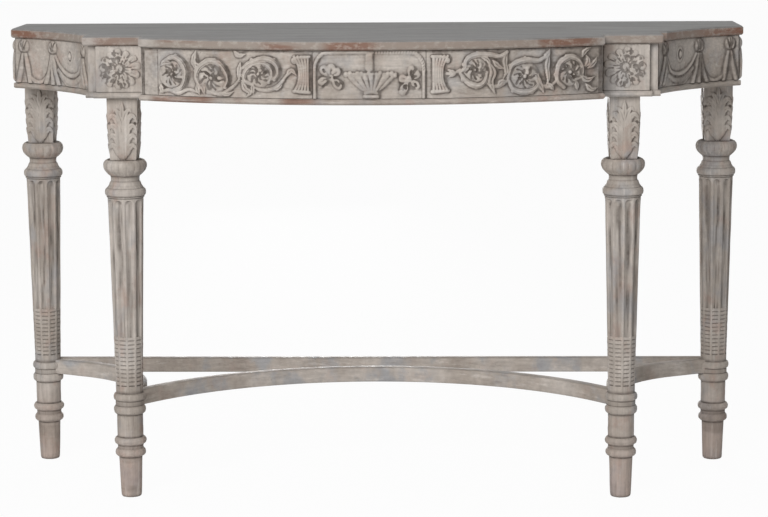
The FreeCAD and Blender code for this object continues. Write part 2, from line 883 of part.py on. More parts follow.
def main():
    places = leg_places()
    mortises = stretcher_tenons(fit_clearance) + leg_tenons(fit_clearance)
    leg = make_leg()
    for name, place in places.items():
        standing = leg.copy()
        standing.translate(place)
        write("leg_" + name, standing.cut(mortises))
    write("top", make_top())
    write("frieze_centre", make_centre_frieze())
    write("bead_centre", make_centre_bead())
    write("back_rail", make_back_rail())
    write("tablet", make_tablet())
    write("urn", make_urn())
    write("stretcher_back", make_back_stretcher(places).cut(mortises))
    write("stretcher_front", make_front_stretcher(places).cut(mortises))
    write("leg_tenons", leg_tenons(0))
    write("stretcher_tenons", stretcher_tenons(0))
    write("glue_blocks", make_glue_blocks())
    pairs = {
        "frieze_cheek": make_cheek(),
        "corner_block": make_corner_block().cut(mortises),
        "plinth": make_plinth().cut(mortises),
        "frieze_side": make_side_frieze(),
        "bead_side": make_side_bead(),
        "frieze_end": make_end_frieze(),
        "bead_end": make_end_bead().cut(mortises),
        "rear_post": make_post().cut(mortises),
        "cross_rail": make_cross_rail(),
        "stretcher_side": make_side_stretcher(places).cut(mortises),
        "scroll_panel": make_scroll_panel(),
        "spool": make_spool(),
        "rosette": make_rosette(),
        "swags": make_swags(),
    }
    for name, right in pairs.items():
        write(name + "_right", right)
        write(name + "_left", mirrored(right))


main()
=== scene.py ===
# %% [markdown]
# # A pier table in worn, limewashed wood
# The table stands against a wall: a bowed front, hollow sides, four turned legs and a low
# ring of stretchers. The CAD model gives every size; this lesson adds what a carver, a
# turner and a painter did afterwards. All pieces are in metres, in the CAD model's frame.

# %% The frame that everything is fitted to
import math
import bpy
import numpy as np
from mathutils import Matrix, Vector


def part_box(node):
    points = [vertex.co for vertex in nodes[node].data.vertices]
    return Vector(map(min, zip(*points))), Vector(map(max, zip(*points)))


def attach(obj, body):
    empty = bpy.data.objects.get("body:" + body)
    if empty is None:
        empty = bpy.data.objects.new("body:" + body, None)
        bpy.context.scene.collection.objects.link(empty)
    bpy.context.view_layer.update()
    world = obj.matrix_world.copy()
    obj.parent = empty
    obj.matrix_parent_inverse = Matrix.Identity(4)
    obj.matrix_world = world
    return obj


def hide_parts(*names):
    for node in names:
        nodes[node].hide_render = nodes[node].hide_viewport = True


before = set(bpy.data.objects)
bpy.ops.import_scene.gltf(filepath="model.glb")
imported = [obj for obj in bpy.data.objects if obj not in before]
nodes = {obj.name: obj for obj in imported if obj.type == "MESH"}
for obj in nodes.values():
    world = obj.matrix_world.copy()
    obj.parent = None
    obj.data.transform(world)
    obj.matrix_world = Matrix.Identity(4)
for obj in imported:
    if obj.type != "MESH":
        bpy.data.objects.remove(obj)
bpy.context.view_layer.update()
MM = 0.001

# %% [markdown]
# ## A way to write finishes
# A finish is a stack of thin layers: wash, rubbed patches, grain, dirt. Each could be wired by
# hand, but the recipe is easier to read as sums. `Layer` wraps one socket, and its operators add
# Math nodes; `node` makes any other node.

# %% Layer: one value or colour of a finish
class Layer:
    def __init__(self, tree, socket=None):
        self.tree, self.socket = tree, socket

    def node(self, kind, settings=None, sockets=None, out=0):
        made = self.tree.nodes.new("ShaderNode" + kind)
        for key, value in (settings or {}).items():
            setattr(made, key, value)
        for key, value in (sockets or {}).items():
            if isinstance(value, Layer):
                self.tree.links.new(value.socket, made.inputs[key])
            else:
                made.inputs[key].default_value = value
        return Layer(self.tree, made.outputs[out])

    def maths(self, operation, first, second, clamp=False):
        return self.node("Math", {"operation": operation, "use_clamp": clamp}, {0: first, 1: second})

    def __add__(self, other): return self.maths("ADD", self, other)
    def __radd__(self, other): return self.maths("ADD", other, self)
    def __rsub__(self, other): return self.maths("SUBTRACT", other, self)
    def __mul__(self, other): return self.maths("MULTIPLY", self, other)
    def __rmul__(self, other): return self.maths("MULTIPLY", other, self)

    def between(self, low, high):
        return self.node("MapRange", {"interpolation_type": "SMOOTHSTEP"},
                         {"Value": self, "From Min": low, "From Max": high})

    def blend(self, under, over):
        colours = [c if isinstance(c, Layer) else (*c, 1) for c in (under, over)]
        return self.node("Mix", {"data_type": "RGBA"}, {0: self, 6: colours[0], 7: colours[1]}, out=2)

    def shade(self, colour):
        grey = self.node("CombineColor", {}, {"Red": self, "Green": self, "Blue": self})
        return self.node("Mix", {"data_type": "RGBA", "blend_type": "MULTIPLY"},
                         {0: 1.0, 6: colour, 7: grey}, out=2)


print("Layer ready:", [name for name in vars(Layer) if not name.startswith("__")])

# %% [markdown]
# ## Limewashed wood
# Grey-beige paint was wiped over the wood and rubbed back. It is paler on high places, pinkish
# where the wood shows through, bluish where the wash lies thick, and brown dirt stays in the
# carving. Image textures could hold this, but layers placed by position give each leg its own
# wear. Painted shade is laid in too: in corners and joints from ambient occlusion, and where the
# meshes ask for it. The meshes below carry one value for this: below zero in recesses (dirt), on
# slopes that fall one way and under the top (painted shade), above zero on high places.

# %% A painter's colours, and the washed finish
CHALK, PALE, GREIGE = (0.66, 0.61, 0.565), (0.50, 0.45, 0.405), (0.375, 0.325, 0.282)
ROSE, SLATE, RUST = (0.40, 0.275, 0.225), (0.345, 0.345, 0.355), (0.21, 0.108, 0.074)
UMBER, DIRT_AND_SHADE = (0.19, 0.155, 0.13), (0.075, 0.06, 0.05)
FADE_IN, FADE_OUT = 0.012, 0.02  # metres over which a rubbed stretch starts and ends


def new_finish(name):
    finish = bpy.data.materials.new(name)
    finish.use_nodes = True
    return finish, Layer(finish.node_tree), finish.node_tree.nodes["Principled BSDF"]


def coat(finish, surface, colour, roughness, bump, gloss):
    for socket, value in {"Base Color": colour, "Roughness": roughness, "Normal": bump}.items():
        finish.node_tree.links.new(value.socket, surface.inputs[socket])
    surface.inputs["Specular IOR Level"].default_value = gloss


def cloud(paint, place, stretch, detail=4.0, rough=0.55, shift=0.0):
    spread = paint.node("VectorMath", {"operation": "MULTIPLY_ADD"},
                        {0: place, 1: stretch, 2: (shift, shift * 0.7, -shift)})
    return paint.node("TexNoise", {}, {"Vector": spread, "Scale": 1.0, "Detail": detail, "Roughness": rough})


def worn_edges(paint, radius):
    rounded = paint.node("Bevel", {"samples": 4}, {"Radius": radius})
    flat = paint.node("NewGeometry", out=1)
    lean = paint.node("VectorMath", {"operation": "DOT_PRODUCT"}, {0: rounded, 1: flat}, out=1)
    return rounded, (1.0 - lean).between(0.01, 0.16)


def rubbed_stretches(paint, place, stretches):
    along = paint.node("SeparateXYZ", {}, {0: place})
    marks = [along.between(a - FADE_IN, a + FADE_IN) * (1 - along.between(b - FADE_OUT, b + FADE_OUT))
             for a, b in stretches]
    return sum(marks[1:], marks[0])


def washed_finish(name, grain, chalkiness=0.0, rosy=0.4, dirt_and_shade_share=1.0, joints=0.75, rust=(), grey=0.45,
                  scuffed=0.0):
    finish, paint, surface = new_finish(name)
    place = paint.node("NewGeometry")
    patina_and_shade = paint.node("Attribute", {"attribute_name": "patina_and_shade"}, out=2)
    thick = cloud(paint, place, (9, 9, 7), 5, 0.6).between(0.38, 0.62)
    rubs = cloud(paint, place, (24, 24, 17), 6, 0.62, 3.1).between(0.52, 0.68)
    cool = cloud(paint, place, (15, 15, 11), 5, 0.6, 7.7).between(0.50, 0.66)
    fibre = cloud(paint, place, grain, 6, 0.6, 1.3).between(0.3, 0.7)
    dry = cloud(paint, place, tuple(g * 0.4 for g in grain), 5, 0.7, 6.2)
    mottle = cloud(paint, place, (75, 75, 60), 5, 0.66, 9.1).between(0.3, 0.7)
    fleck = cloud(paint, place, (310, 310, 310), 3, 0.6, 5.5)
    rounded, edges = worn_edges(paint, 1.6 * MM)
    # ambient occlusion: used below as painted shade in corners, joints and under overhangs
    occlusion = paint.node("AmbientOcclusion", {"samples": 6}, {"Distance": 14 * MM}, out=1)
    hollow_dirt_and_shade = (0 - patina_and_shade).between(0.0, 0.62)
    raised = patina_and_shade.between(0.08, 0.9)

    # the wash, rubbed and greyed, wear on high places, then dirt and painted shade in the hollows and joints
    colour = (thick + chalkiness).blend(GREIGE, PALE)
    colour = (rubs * rosy).blend(colour, ROSE)
    colour = (cool * grey).blend(colour, SLATE)
    if scuffed:
        lift = paint.node("SeparateXYZ", {}, {0: place}, out=2)
        colour = ((1 - lift.between(0.03, 0.19)) * (0.4 + 0.6 * thick) * scuffed).blend(colour, ROSE)
        grimy = cloud(paint, place, (4, 4, 16), 4, 0.6, 2.6).between(0.5, 0.66)
        colour = ((1 - lift.between(0.12, 0.24)) * grimy * scuffed).blend(colour, UMBER)
    if rust:
        smear = cloud(paint, place, (5, 5, 60), 5, 0.6, 8.3)
        bared = rubbed_stretches(paint, place, rust) * 0.7 + 0.12
        colour = (smear.between(0.36, 0.54) * bared).blend(colour, RUST)
    colour = (dry.between(0.56, 0.66) * 0.4).blend(colour, CHALK)
    colour = ((1 - dry).between(0.56, 0.68) * 0.34).blend(colour, UMBER)
    colour = (raised * (0.08 + 0.36 * mottle)).blend(colour, CHALK)
    colour = (edges * mottle * 0.5).blend(colour, CHALK)
    colour = (0.84 + 0.18 * fibre + 0.16 * mottle).shade(colour)
    # dirt in the hollows, with painted shade where the value is low on falling slopes and under the top
    colour = (hollow_dirt_and_shade * (0.56 + 0.42 * mottle) * dirt_and_shade_share).blend(colour, DIRT_AND_SHADE)
    # painted shade from ambient occlusion in corners and joints
    colour = ((1 - occlusion).between(0.24, 0.72) * joints * dirt_and_shade_share).blend(colour, DIRT_AND_SHADE)
    colour = (fleck.between(0.66, 0.74) * 0.45).blend(colour, DIRT_AND_SHADE)
    height = fibre * 0.3 + mottle * 0.35 + fleck * 0.2
    bump = paint.node("Bump", {}, {"Strength": 0.4, "Distance": 0.8 * MM, "Height": height,
                                   "Normal": rounded})
    coat(finish, surface, colour, 0.6 + 0.2 * mottle, bump, gloss=0.25)
    return finish


LEVEL_GRAIN = (14, 190, 190)
washed_level = washed_finish("washed_boards", LEVEL_GRAIN)
rubbed_bead = washed_finish("rubbed_beads", LEVEL_GRAIN, rosy=0.6, rust=((-0.41, -0.29), (-0.16, -0.1)))
dull_bead = washed_finish("dull_beads", (40, 40, 190), chalkiness=-0.35, rosy=0.5)
washed_upright = washed_finish("washed_legs", (190, 190, 10), chalkiness=0.1, rosy=0.5, joints=0.55,
                               grey=0.6, scuffed=0.5)
washed_carving = washed_finish("washed_carving", LEVEL_GRAIN, chalkiness=0.1)
washed_block = washed_finish("washed_blocks", (120, 120, 16), chalkiness=0.3, dirt_and_shade_share=0.85)
washed_bar = washed_finish("washed_bars", (30, 30, 150), rosy=0.2, grey=0.85)
washes = (washed_level, rubbed_bead, dull_bead, washed_upright, washed_carving, washed_block, washed_bar)
print("washed finishes:", [finish.name for finish in washes])

# %% [markdown]
# ## The grey top and the bare wood inside
# The top is painted a flat stone grey; its edge is rubbed down to reddish brown at the corners.
# One finish serves both: the way a face looks tells top from edge. Inside, the rails were
# never painted.

# %% Stone-grey top, rubbed edge, bare rails
STONE, STONE_DARK, EDGE = (0.31, 0.304, 0.298), (0.225, 0.22, 0.214), (0.31, 0.262, 0.225)
DUST, SCUFF = (0.43, 0.41, 0.39), (0.47, 0.42, 0.37)
PALE_EDGE, PALE_CORNER = (0.52, 0.48, 0.45), (0.52, 0.48, 0.44)
# where the front edge is rubbed, in metres from the middle of the table
BARED = ((-0.39, -0.32), (-0.2, -0.135), (-0.08, 0.01), (0.31, 0.415))
FAINT = ((-0.53, -0.44), (0.55, 0.6))
CHALKY = ((-0.55, -0.525), (-0.435, -0.405), (0.425, 0.445))
worn_top, paint, surface = new_finish("worn_grey_top")
place, faces_up = paint.node("NewGeometry"), paint.node("NewGeometry", out=1)
upward = paint.node("SeparateXYZ", {}, {0: faces_up}, out=2).between(0.35, 0.8)
streak = cloud(paint, place, (5, 55, 20), 6, 0.62)
smear = cloud(paint, place, (4.2, 6, 40), 5, 0.6, 4.1)
spots = cloud(paint, place, (60, 60, 90), 5, 0.65, 2.2)
rounded, edges = worn_edges(paint, 4 * MM)
flat = streak.between(0.34, 0.68).blend(STONE_DARK, STONE)
flat = (spots.between(0.62, 0.74) * 0.3).blend(flat, DUST)
outward = paint.node("Math", {"operation": "ABSOLUTE"}, {0: paint.node("SeparateXYZ", {}, {0: place})})
ends = outward.between(0.58, 0.70) * cloud(paint, place, (16, 16, 60), 4, 0.6, 1.7).between(0.28, 0.5)
bared, faint = rubbed_stretches(paint, place, BARED), rubbed_stretches(paint, place, FAINT)
bared = (bared * 0.8 + faint * 0.4 + 0.1) * smear.between(0.34, 0.54)
edge_colour = (bared + ends).blend(EDGE, RUST)
edge_colour = (spots.between(0.48, 0.66) * 0.5).blend(edge_colour, SCUFF)
chalky = rubbed_stretches(paint, place, CHALKY)
edge_colour = (chalky * spots.between(0.3, 0.5) * 0.6).blend(edge_colour, PALE_EDGE)
colour = upward.blend(edge_colour, flat)
colour = (edges * spots.between(0.36, 0.56) * 0.6).blend(colour, PALE_CORNER)
bump = paint.node("Bump", {}, {"Strength": 0.25, "Distance": 0.6 * MM, "Height": streak + spots * 0.6,
                               "Normal": rounded})
coat(worn_top, surface, colour, 0.5 + 0.3 * spots, bump, gloss=0.3)
bare_rail = washed_finish("bare_rail", (16, 170, 170), rosy=1.0, dirt_and_shade_share=0.5)
print("top and rail finishes:", worn_top.name, bare_rail.name)

# %% The CAD pieces that stay take their finish
stays = ((washed_level, ("frieze_", "back_rail", "rear_post")), (rubbed_bead, ("bead_centre",)),
         (dull_bead, ("bead_side", "bead_end")), (washed_block, ("corner_block", "plinth")),
         (worn_top, ("top",)),
         (bare_rail, ("cross_rail", "glue_blocks", "leg_tenons", "stretcher_tenons")))
for finish, starts in stays:
    chosen = [n for n in nodes if n.startswith(starts)]
    for n in chosen:
        nodes[n].data.materials.clear()
        nodes[n].data.materials.append(finish)
    print(finish.name, "on", len(chosen), "pieces")

# %% [markdown]
# ## A carver's tools
# Carving on a board is a height above the board. Sculpting by hand would work, but a height
# field keeps every leaf editable. `Carving` holds a grid in millimetres, and each method
# is a cut or a raised form drawn along a line of a few points.

# %% Lines and softening
def drawn_line(points, steps=7):
    p = np.array(points, float)
    if len(p) == 2:
        return p[0] + np.linspace(0, 1, steps)[:, None] * (p[1] - p[0])
    p = np.vstack([2 * p[0] - p[1], p, 2 * p[-1] - p[-2]])
    t = np.linspace(0, 1, steps, endpoint=False)[:, None]
    runs = [0.5 * (2 * b + (c - a) * t + (2 * a - 5 * b + 4 * c - d) * t**2
                   + (3 * b - a - 3 * c + d) * t**3)
            for a, b, c, d in zip(p, p[1:], p[2:], p[3:])]
    return np.vstack(runs + [p[-2:-1]])


def softened(field, reach):
    offsets = np.arange(-int(3 * reach), int(3 * reach) + 1)
    weights = np.exp(-0.5 * (offsets / reach) ** 2)
    weights /= weights.sum()
    for axis in (0, 1):
        pad = [(len(offsets) // 2,) * 2 if a == axis else (0, 0) for a in (0, 1)]
        wide = np.pad(field, pad, mode="edge")
        field = sum(w * np.take(wide, range(k, k + field.shape[axis]), axis)
                    for k, w in enumerate(weights))
    return field


print("a line of 4 points becomes", len(drawn_line([(0, 0), (5, 4), (10, 0), (15, 4)])), "points")

# %% Carving: raised rolls, leaves, flowers, and cuts
class Carving:
    def __init__(self, across, up):
        self.x, self.z = np.meshgrid(across, up, indexing="ij")
        # the second field darkens the finish: real stains, and painted shade and shadow where a piece adds
        # them
        self.h, self.soil_and_shade = np.zeros_like(self.x), np.zeros_like(self.x)

    def along(self, points, reach):
        line = drawn_line(points)
        low, high = line.min(0) - reach, line.max(0) + reach
        pick = (self.x >= low[0]) & (self.x <= high[0]) & (self.z >= low[1]) & (self.z <= high[1])
        x, z = self.x[pick], self.z[pick]
        gap, share = np.full(x.shape, 1e9), np.zeros(x.shape)
        length = np.append(0, np.cumsum(np.hypot(*np.diff(line, axis=0).T)))
        for a, b, start, end in zip(line, line[1:], length, length[1:]):
            step = b - a
            t = np.clip(((x - a[0]) * step[0] + (z - a[1]) * step[1]) / max(step @ step, 1e-9), 0, 1)
            d = np.hypot(x - a[0] - t * step[0], z - a[1] - t * step[1])
            near = d < gap
            gap[near], share[near] = d[near], ((start + t * (end - start)) / length[-1])[near]
        return pick, gap, share

    def raise_to(self, pick, form):
        self.h[pick] = np.maximum(self.h[pick], form)

    def roll(self, points, width, height, ends=(0.5, 0.5), lobes=0):
        pick, gap, share = self.along(points, width / 2)
        taper = np.interp(share, (0, 0.45, 1), (ends[0], 1, ends[1]))
        half = width / 2 * taper
        if lobes:
            half = half * (0.91 + 0.09 * np.abs(np.cos(np.pi * lobes * share)))
        form = np.sqrt(np.clip(1 - (gap / half) ** 2, 0, 1))
        if lobes:
            form = form - 0.34 * np.exp(-(((gap - 0.42 * half) / 0.8) ** 2))
        self.raise_to(pick, height * form * (0.45 + 0.55 * taper))

    def sprout(self, points, shares, length, side):
        line = drawn_line(points)
        for share in shares:
            k = int(share * (len(line) - 2))
            ahead = (line[k + 1] - line[k]) / max(np.hypot(*(line[k + 1] - line[k])), 1e-6)
            aside = side * np.array([-ahead[1], ahead[0]])
            middle = line[k] + length * (0.55 * aside + 0.25 * ahead)
            tip = line[k] + length * (0.75 * aside + 0.8 * ahead)
            self.leaf([line[k], middle, tip], length * 0.85, 4.6, lobes=1)

    def leaf(self, points, width, height, lobes=3):
        pick, gap, share = self.along(points, width * 0.6)
        half = width / 2 * np.sin(np.pi * np.clip(share, 0.03, 0.97) ** 0.75)
        half = half * (0.78 + 0.22 * np.abs(np.cos(np.pi * lobes * share)))
        q = gap / np.maximum(half, 0.05)
        vein = 0.3 * height * np.exp(-((gap / 0.9) ** 2))
        form = height * (0.62 + 0.38 * q) * np.clip(1 - q**6, 0, 1) - vein
        self.raise_to(pick, np.where(q < 1, form, 0))

    def cut(self, points, width, depth):
        pick, gap, _ = self.along(points, width / 2)
        self.h[pick] -= depth * np.clip(1 - (2 * gap / width) ** 2, 0, 1)

    def polar(self, centre, tall=1.0):
        dx, dz = self.x - centre[0], (self.z - centre[1]) / tall
        return np.hypot(dx, dz), np.arctan2(dz, dx)

    def dome(self, centre, radius, height, tall=1.0):
        r, _ = self.polar(centre, tall)
        self.h = np.maximum(self.h, height * np.sqrt(np.clip(1 - (r / radius) ** 2, 0, 1)))

    def flower(self, centre, radius, petals, height, turn=0.0, boss=0.24):
        r, a = self.polar(centre)
        a = a + 0.22 * np.sin(2 * a + 5 * turn)
        wave = np.abs(np.cos((a - turn) * petals / 2))
        q = r / (radius * (0.62 + 0.38 * wave**0.6))
        form = height * (0.05 + 0.95 * wave**0.7) * np.clip(1 - q**5, 0, 1) * np.clip(0.45 + 0.8 * q, 0, 1)
        self.h = np.maximum(self.h, np.where(q < 1, form, 0))
        self.h -= 0.6 * height * np.exp(-(((r - radius * boss * 1.25) / 1.1) ** 2))
        self.dome(centre, radius * boss, height * 1.05)

    def petal(self, turn, start, end, width, height, centre=(0, 0)):
        r, a = self.polar(centre)
        along, aside = r * np.cos(a - turn), r * np.sin(a - turn)
        along = (along - (start + end) / 2) / (end - start) * 2
        q = np.hypot(along, aside / (width / 2 * np.clip(0.74 + 0.26 * along, 0.4, 1)))
        vein = 0.3 * height * np.exp(-((aside / 1.1) ** 2)) * (along < 0.4)
        form = height * (0.6 + 0.4 * q**2) * np.clip(1 - q**8, 0, 1) - vein
        self.h = np.maximum(self.h, np.where(q < 1, form, 0))

    def stain(self, centre, radius, amount):
        blotch = softened(np.random.default_rng(int(radius * 7)).normal(size=self.h.shape), 2.2)
        self.soil_and_shade += amount * (1 + 8 * blotch) * np.exp(-1.3 * (self.polar(centre)[0] / radius) ** 4)

    def wear(self, amount, seed):
        rough = np.random.default_rng(seed).normal(size=self.h.shape)
        self.h += amount * (2.2 * softened(rough, 1.2) + 5.0 * softened(rough, 3.5))

    def patina_and_shade(self, reach=2.4, depth=1.5, slope_shade=0.8):
        fine = (self.h - softened(self.h, reach)) / depth
        broad = (self.h - softened(self.h, 3 * reach)) / (2.4 * depth)
        # painted shade: slopes that fall towards +x across the carving are darkened, as if lit from the other
        # side
        falling = -np.gradient(softened(self.h, 1.2), axis=0) / abs(self.x[1, 0] - self.x[0, 0])
        falls = np.clip(falling - 0.15, 0, 0.9)
        shaded_slopes = softened(falls, 1.0) + softened(falls, 3.5)
        return np.clip(0.55 * fine + 0.55 * broad - slope_shade * shaded_slopes - self.soil_and_shade, -1, 1)


print("carving tools:", [name for name in vars(Carving) if not name.startswith("__")])

# %% [markdown]
# ## From a height field to a solid piece
# A bare sheet would have no thickness and show its open rim from the side. So each piece is a row
# of closed loops, skinned like a ship's hull and capped at both ends. The same helper makes
# the bars of the stretcher and the turned legs.

# %% Skinning loops into a piece
def lofted(name, loops, patina_and_shade, finish, replaced=(), smooth=48):
    count, around = loops.shape[:2]
    i, j = np.meshgrid(np.arange(count - 1), np.arange(around), indexing="ij")
    a, b = (i * around + j).ravel(), (i * around + (j + 1) % around).ravel()
    quads = np.stack([a, b, b + around, a + around], 1).tolist()
    caps = [list(range(around))[::-1], list(range((count - 1) * around, count * around))]
    mesh = bpy.data.meshes.new(name)
    mesh.from_pydata(loops.reshape(-1, 3).tolist(), [], quads + caps)
    middle = loops.reshape(-1, 3).mean(0)
    corners = loops.reshape(-1, 3)[np.array(quads)]
    volume = np.einsum("ij,ij->i", corners[:, 0] - middle,
                       np.cross(corners[:, 1] - middle, corners[:, 2] - middle)).sum()
    if volume < 0:
        mesh.flip_normals()
    mesh.shade_smooth()
    mesh.set_sharp_from_angle(angle=math.radians(smooth))
    tone = np.zeros((count, around))
    tone[:, :patina_and_shade.shape[1]] = patina_and_shade
    values = tone.ravel().astype(np.float32)
    mesh.attributes.new("patina_and_shade", "FLOAT", "POINT").data.foreach_set("value", values)
    return set_in_place(bpy.data.objects.new(name, mesh), finish, replaced)


def set_in_place(piece, finish, replaced=()):
    bpy.context.scene.collection.objects.link(piece)
    if not piece.data.materials:
        piece.data.materials.append(finish)
    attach(piece, "root")
    if replaced:
        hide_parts(*replaced)
    return piece


COVER, DEEPEST, RIM = 1.6, -1.2, 0.15  # mm above the board: bare ground, deepest cut, rim
WHOLE = np.s_[:, :]


# the last but one argument sets how much painted shade lies on slopes that fall one way
def carved_skin(name, on_face, carving, window, replaced, finish, slope_shade=1.15, soft=1.15):
    h = softened(carving.h, soft)
    x, z, h, tone = (field[window] for field in (carving.x, carving.z, h, carving.patina_and_shade(slope_shade=slope_shade)))
    front = on_face(x, z, COVER + np.clip(h, DEEPEST, None))
    rims = [on_face(x[:, [k]], z[:, [k]], np.full((len(x), 1), RIM)) for k in (-1, 0)]
    loops = np.concatenate([front] + rims, axis=1) * MM
    return lofted(name, loops, tone, finish, replaced)


print("skinning helper ready")

# %% [markdown]
# ## The carved front
# Three scrolls run outwards on each side of a tablet with an urn. Each scroll is a rolled ring
# round a flower, with leaves that reach up to the rail and hook down between them. The lines
# below are in millimetres on the bowed face, from the middle of the frieze.

# %% Lines of the scrolls
FACE_R, BOW_Y, MID_Z = 834.4, 542.4, 837.5
FRIEZE_LOW, FRIEZE_HIGH = -43.6, 44.2
rows = np.arange(FRIEZE_LOW, FRIEZE_HIGH, 0.98)


def on_bow(x, z, out):
    angle = np.arcsin(x / FACE_R)
    reach = FACE_R + out
    return np.stack([np.sin(angle) * reach, BOW_Y - np.cos(angle) * reach, z + MID_Z], -1)


def on_ring(centre, reach, angle):
    return (centre[0] + reach * math.cos(angle), centre[1] + reach * math.sin(angle))


front = Carving(np.arange(-429, 429.5, 1.0), rows)
rings = [
    ([(-381, 21), (-366, 28), (-352, 22), (-342, 6), (-343, -12), (-350, -27), (-364, -33)], 9),
    ([(-312, -27), (-321, -9), (-317, 7), (-307, 17), (-293, 23), (-277, 18), (-266, 5), (-261, -10),
      (-266, -25)], 9),
    ([(-214, -20), (-228, -12), (-229, 0), (-221, 11), (-207, 19), (-191, 19), (-180, 10), (-178, -2),
      (-184, -14)], 8),
    ([(-232, 11), (-219, 21), (-197, 28), (-180, 26), (-169, 16), (-167, 2), (-174, -9)], 8),
    ([(165, 3), (174, 11), (176, 23), (184, 31), (199, 35), (221, 34), (238, 31), (251, 38)], 8),
    ([(165, 3), (172, -8), (183, -18), (199, -22), (210, -14), (214, 2)], 8),
    ([(253, -9), (259, 12), (272, 20), (289, 23), (309, 21), (324, 29)], 8),
    ([(253, -13), (264, -31), (283, -36), (300, -32), (309, -20), (308, -5)], 8),
    ([(357, -30), (345, -18), (344, -2), (348, 13), (356, 21), (369, 26), (383, 20), (391, 6),
      (391, -12)], 9)]
for k, (line, width) in enumerate(rings):
    front.roll(line, width + 4, 5.6, (0.55, 0.6), lobes=len(line) + 2)
    front.sprout(line, (0.2, 0.55), 7.5, -1 if k in (5, 7) else 1)
print(len(rings), "rolled rings")

# %% Flowers in the scrolls, and the leaves and stems between them
flowers = (((-367, -4), 20, 7, 0.2), ((-291, -8), 24, 8, 0.6), ((-203, 0), 19, 7, 1.1),
           ((193, 7), 18, 7, 0.4), ((284, -8), 21, 8, 0.9), ((368, -2), 20, 7, 0.1))
for centre, radius, petals, turn in flowers:
    front.dome(centre, radius * 1.3, 3.5)
    front.flower(centre, radius, petals + 3, 4.5, turn, boss=0.2)
    front.flower(centre, radius * 0.62, petals - 1, 5.4, turn + 0.4, boss=0.3)
    front.stain((centre[0] + 0.15 * radius, centre[1]), radius, 0.46)
    for k in range(9):
        around = turn + (k + 0.3 * math.sin(5 * k + turn)) * 2 * math.pi / 9
        swirl = [on_ring(centre, radius * r, around + 0.9 * r) for r in (0.34, 0.62, 0.95)]
        front.cut(swirl, 4.6, 2.2 + 0.9 * math.sin(3 * k))
    for k in (1, 3, 6):
        spot = on_ring(centre, 0.55 * radius, turn + 2.4 * k)
        front.cut([spot, (spot[0] + 2.5, spot[1] - 2)], 6.5, 2.6)
stems = [[(-390, -37), (-374, -33), (-356, -38), (-336, -31), (-317, -36)],
         [(-299, -32), (-285, -37), (-271, -37), (-257, -28), (-246, -19), (-238, -8)],
         [(-214, -21), (-204, -27), (-189, -29), (-173, -25), (-161, -15), (-153, -4), (-145, 4), (-135, 6)],
         [(141, 1), (154, 1), (165, 8)], [(215, -18), (232, -24), (247, -18), (255, -9)],
         [(308, -20), (325, -28), (338, -22), (346, -8)]]
for line in stems:
    front.roll(line, 8, 4.2, (0.7, 0.5), lobes=6)
leaves = [([(-390, 12), (-381, 18), (-367, 17)], 9), ([(-390, -24), (-386, -40)], 9),
          ([(-322, 8), (-325, 24), (-321, 42)], 11), ([(-311, 11), (-320, 16), (-326, 28)], 8),
          ([(-320, -22), (-315, -40)], 9), ([(-308, -22), (-306, -39)], 8),
          ([(-237, 20), (-239, 2), (-239, -14)], 9),
          ([(-234, -12), (-228, -26), (-219, -34), (-227, -42)], 10),
          ([(-214, -18), (-213, -37)], 8), ([(-248, 42), (-239, 34), (-226, 37)], 9),
          ([(-151, -3), (-142, 8), (-132, -2)], 8),
          ([(-276, -34), (-262, -38), (-250, -32)], 7), ([(-178, -26), (-166, -24), (-158, -14)], 7),
          ([(217, 20), (225, 2), (221, -17), (230, -40)], 13), ([(225, 23), (236, 12), (246, 8)], 9),
          ([(233, -24), (241, -15), (252, -17)], 8), ([(251, 41), (247, 22), (249, 2), (243, -12)], 9),
          ([(203, 31), (215, 25), (221, 12)], 8), ([(304, -3), (311, -22), (320, -40)], 11),
          ([(329, 38), (325, 10), (327, -14), (321, -30)], 9), ([(327, -21), (338, -35)], 8),
          ([(318, 24), (326, 33), (330, 42)], 9), ([(391, 26), (396, 36), (408, 42)], 9),
          ([(395, 6), (402, 16), (398, 29)], 9), ([(388, -9), (400, -18), (414, -13)], 10),
          ([(398, -26), (408, -36), (420, -34)], 9), ([(402, 4), (412, 12), (419, 24)], 9),
          ([(379, -19), (382, -37)], 8), ([(143, 8), (154, 1), (143, -6)], 7)]
for line, width in leaves:
    front.leaf(line, width * 1.2, 5.2)
print(len(stems), "stems and", len(leaves), "leaves")

# %% [markdown]
# ### Spools, tablet and urn
# Two reeded spools close the scrolls. The tablet between them has a round-cornered border of small
# beads; on it stands an urn with a fluted bowl, a knob and a spreading foot, with a curled
# spray on each side.

# %% Spools, border and urn
TABLET, GROOVE = 93, 104.5  # half widths of the tablet's ground and of the grooves beside it
reed_line = ((1, 33), (0.2, 17), (0, 1), (0.2, -15), (1, -31))
for side, shift in ((-1, 0), (1, 6)):
    for k, x in enumerate((111, 115, 119, 123, 127)):
        lean = 2.4 * k
        reed = [(side * (x + shift + flare * lean), z) for flare, z in reed_line]
        front.roll(reed, 5.6, 4.8, (0.95, 0.95))
    front.roll([(side * (109 + shift), 32.5), (side * (136 + shift), 31)], 7, 4.6, (0.9, 0.7))
    front.roll([(side * (109 + shift), -31.5), (side * (138 + shift), -30)], 8, 4.8, (0.9, 0.7))
    front.dome((side * (136 + shift), 26), 6.5, 4.6)


def arched(half, crown):
    return [(-x, z) for x, z in half] + [(0, crown)] + half[::-1]


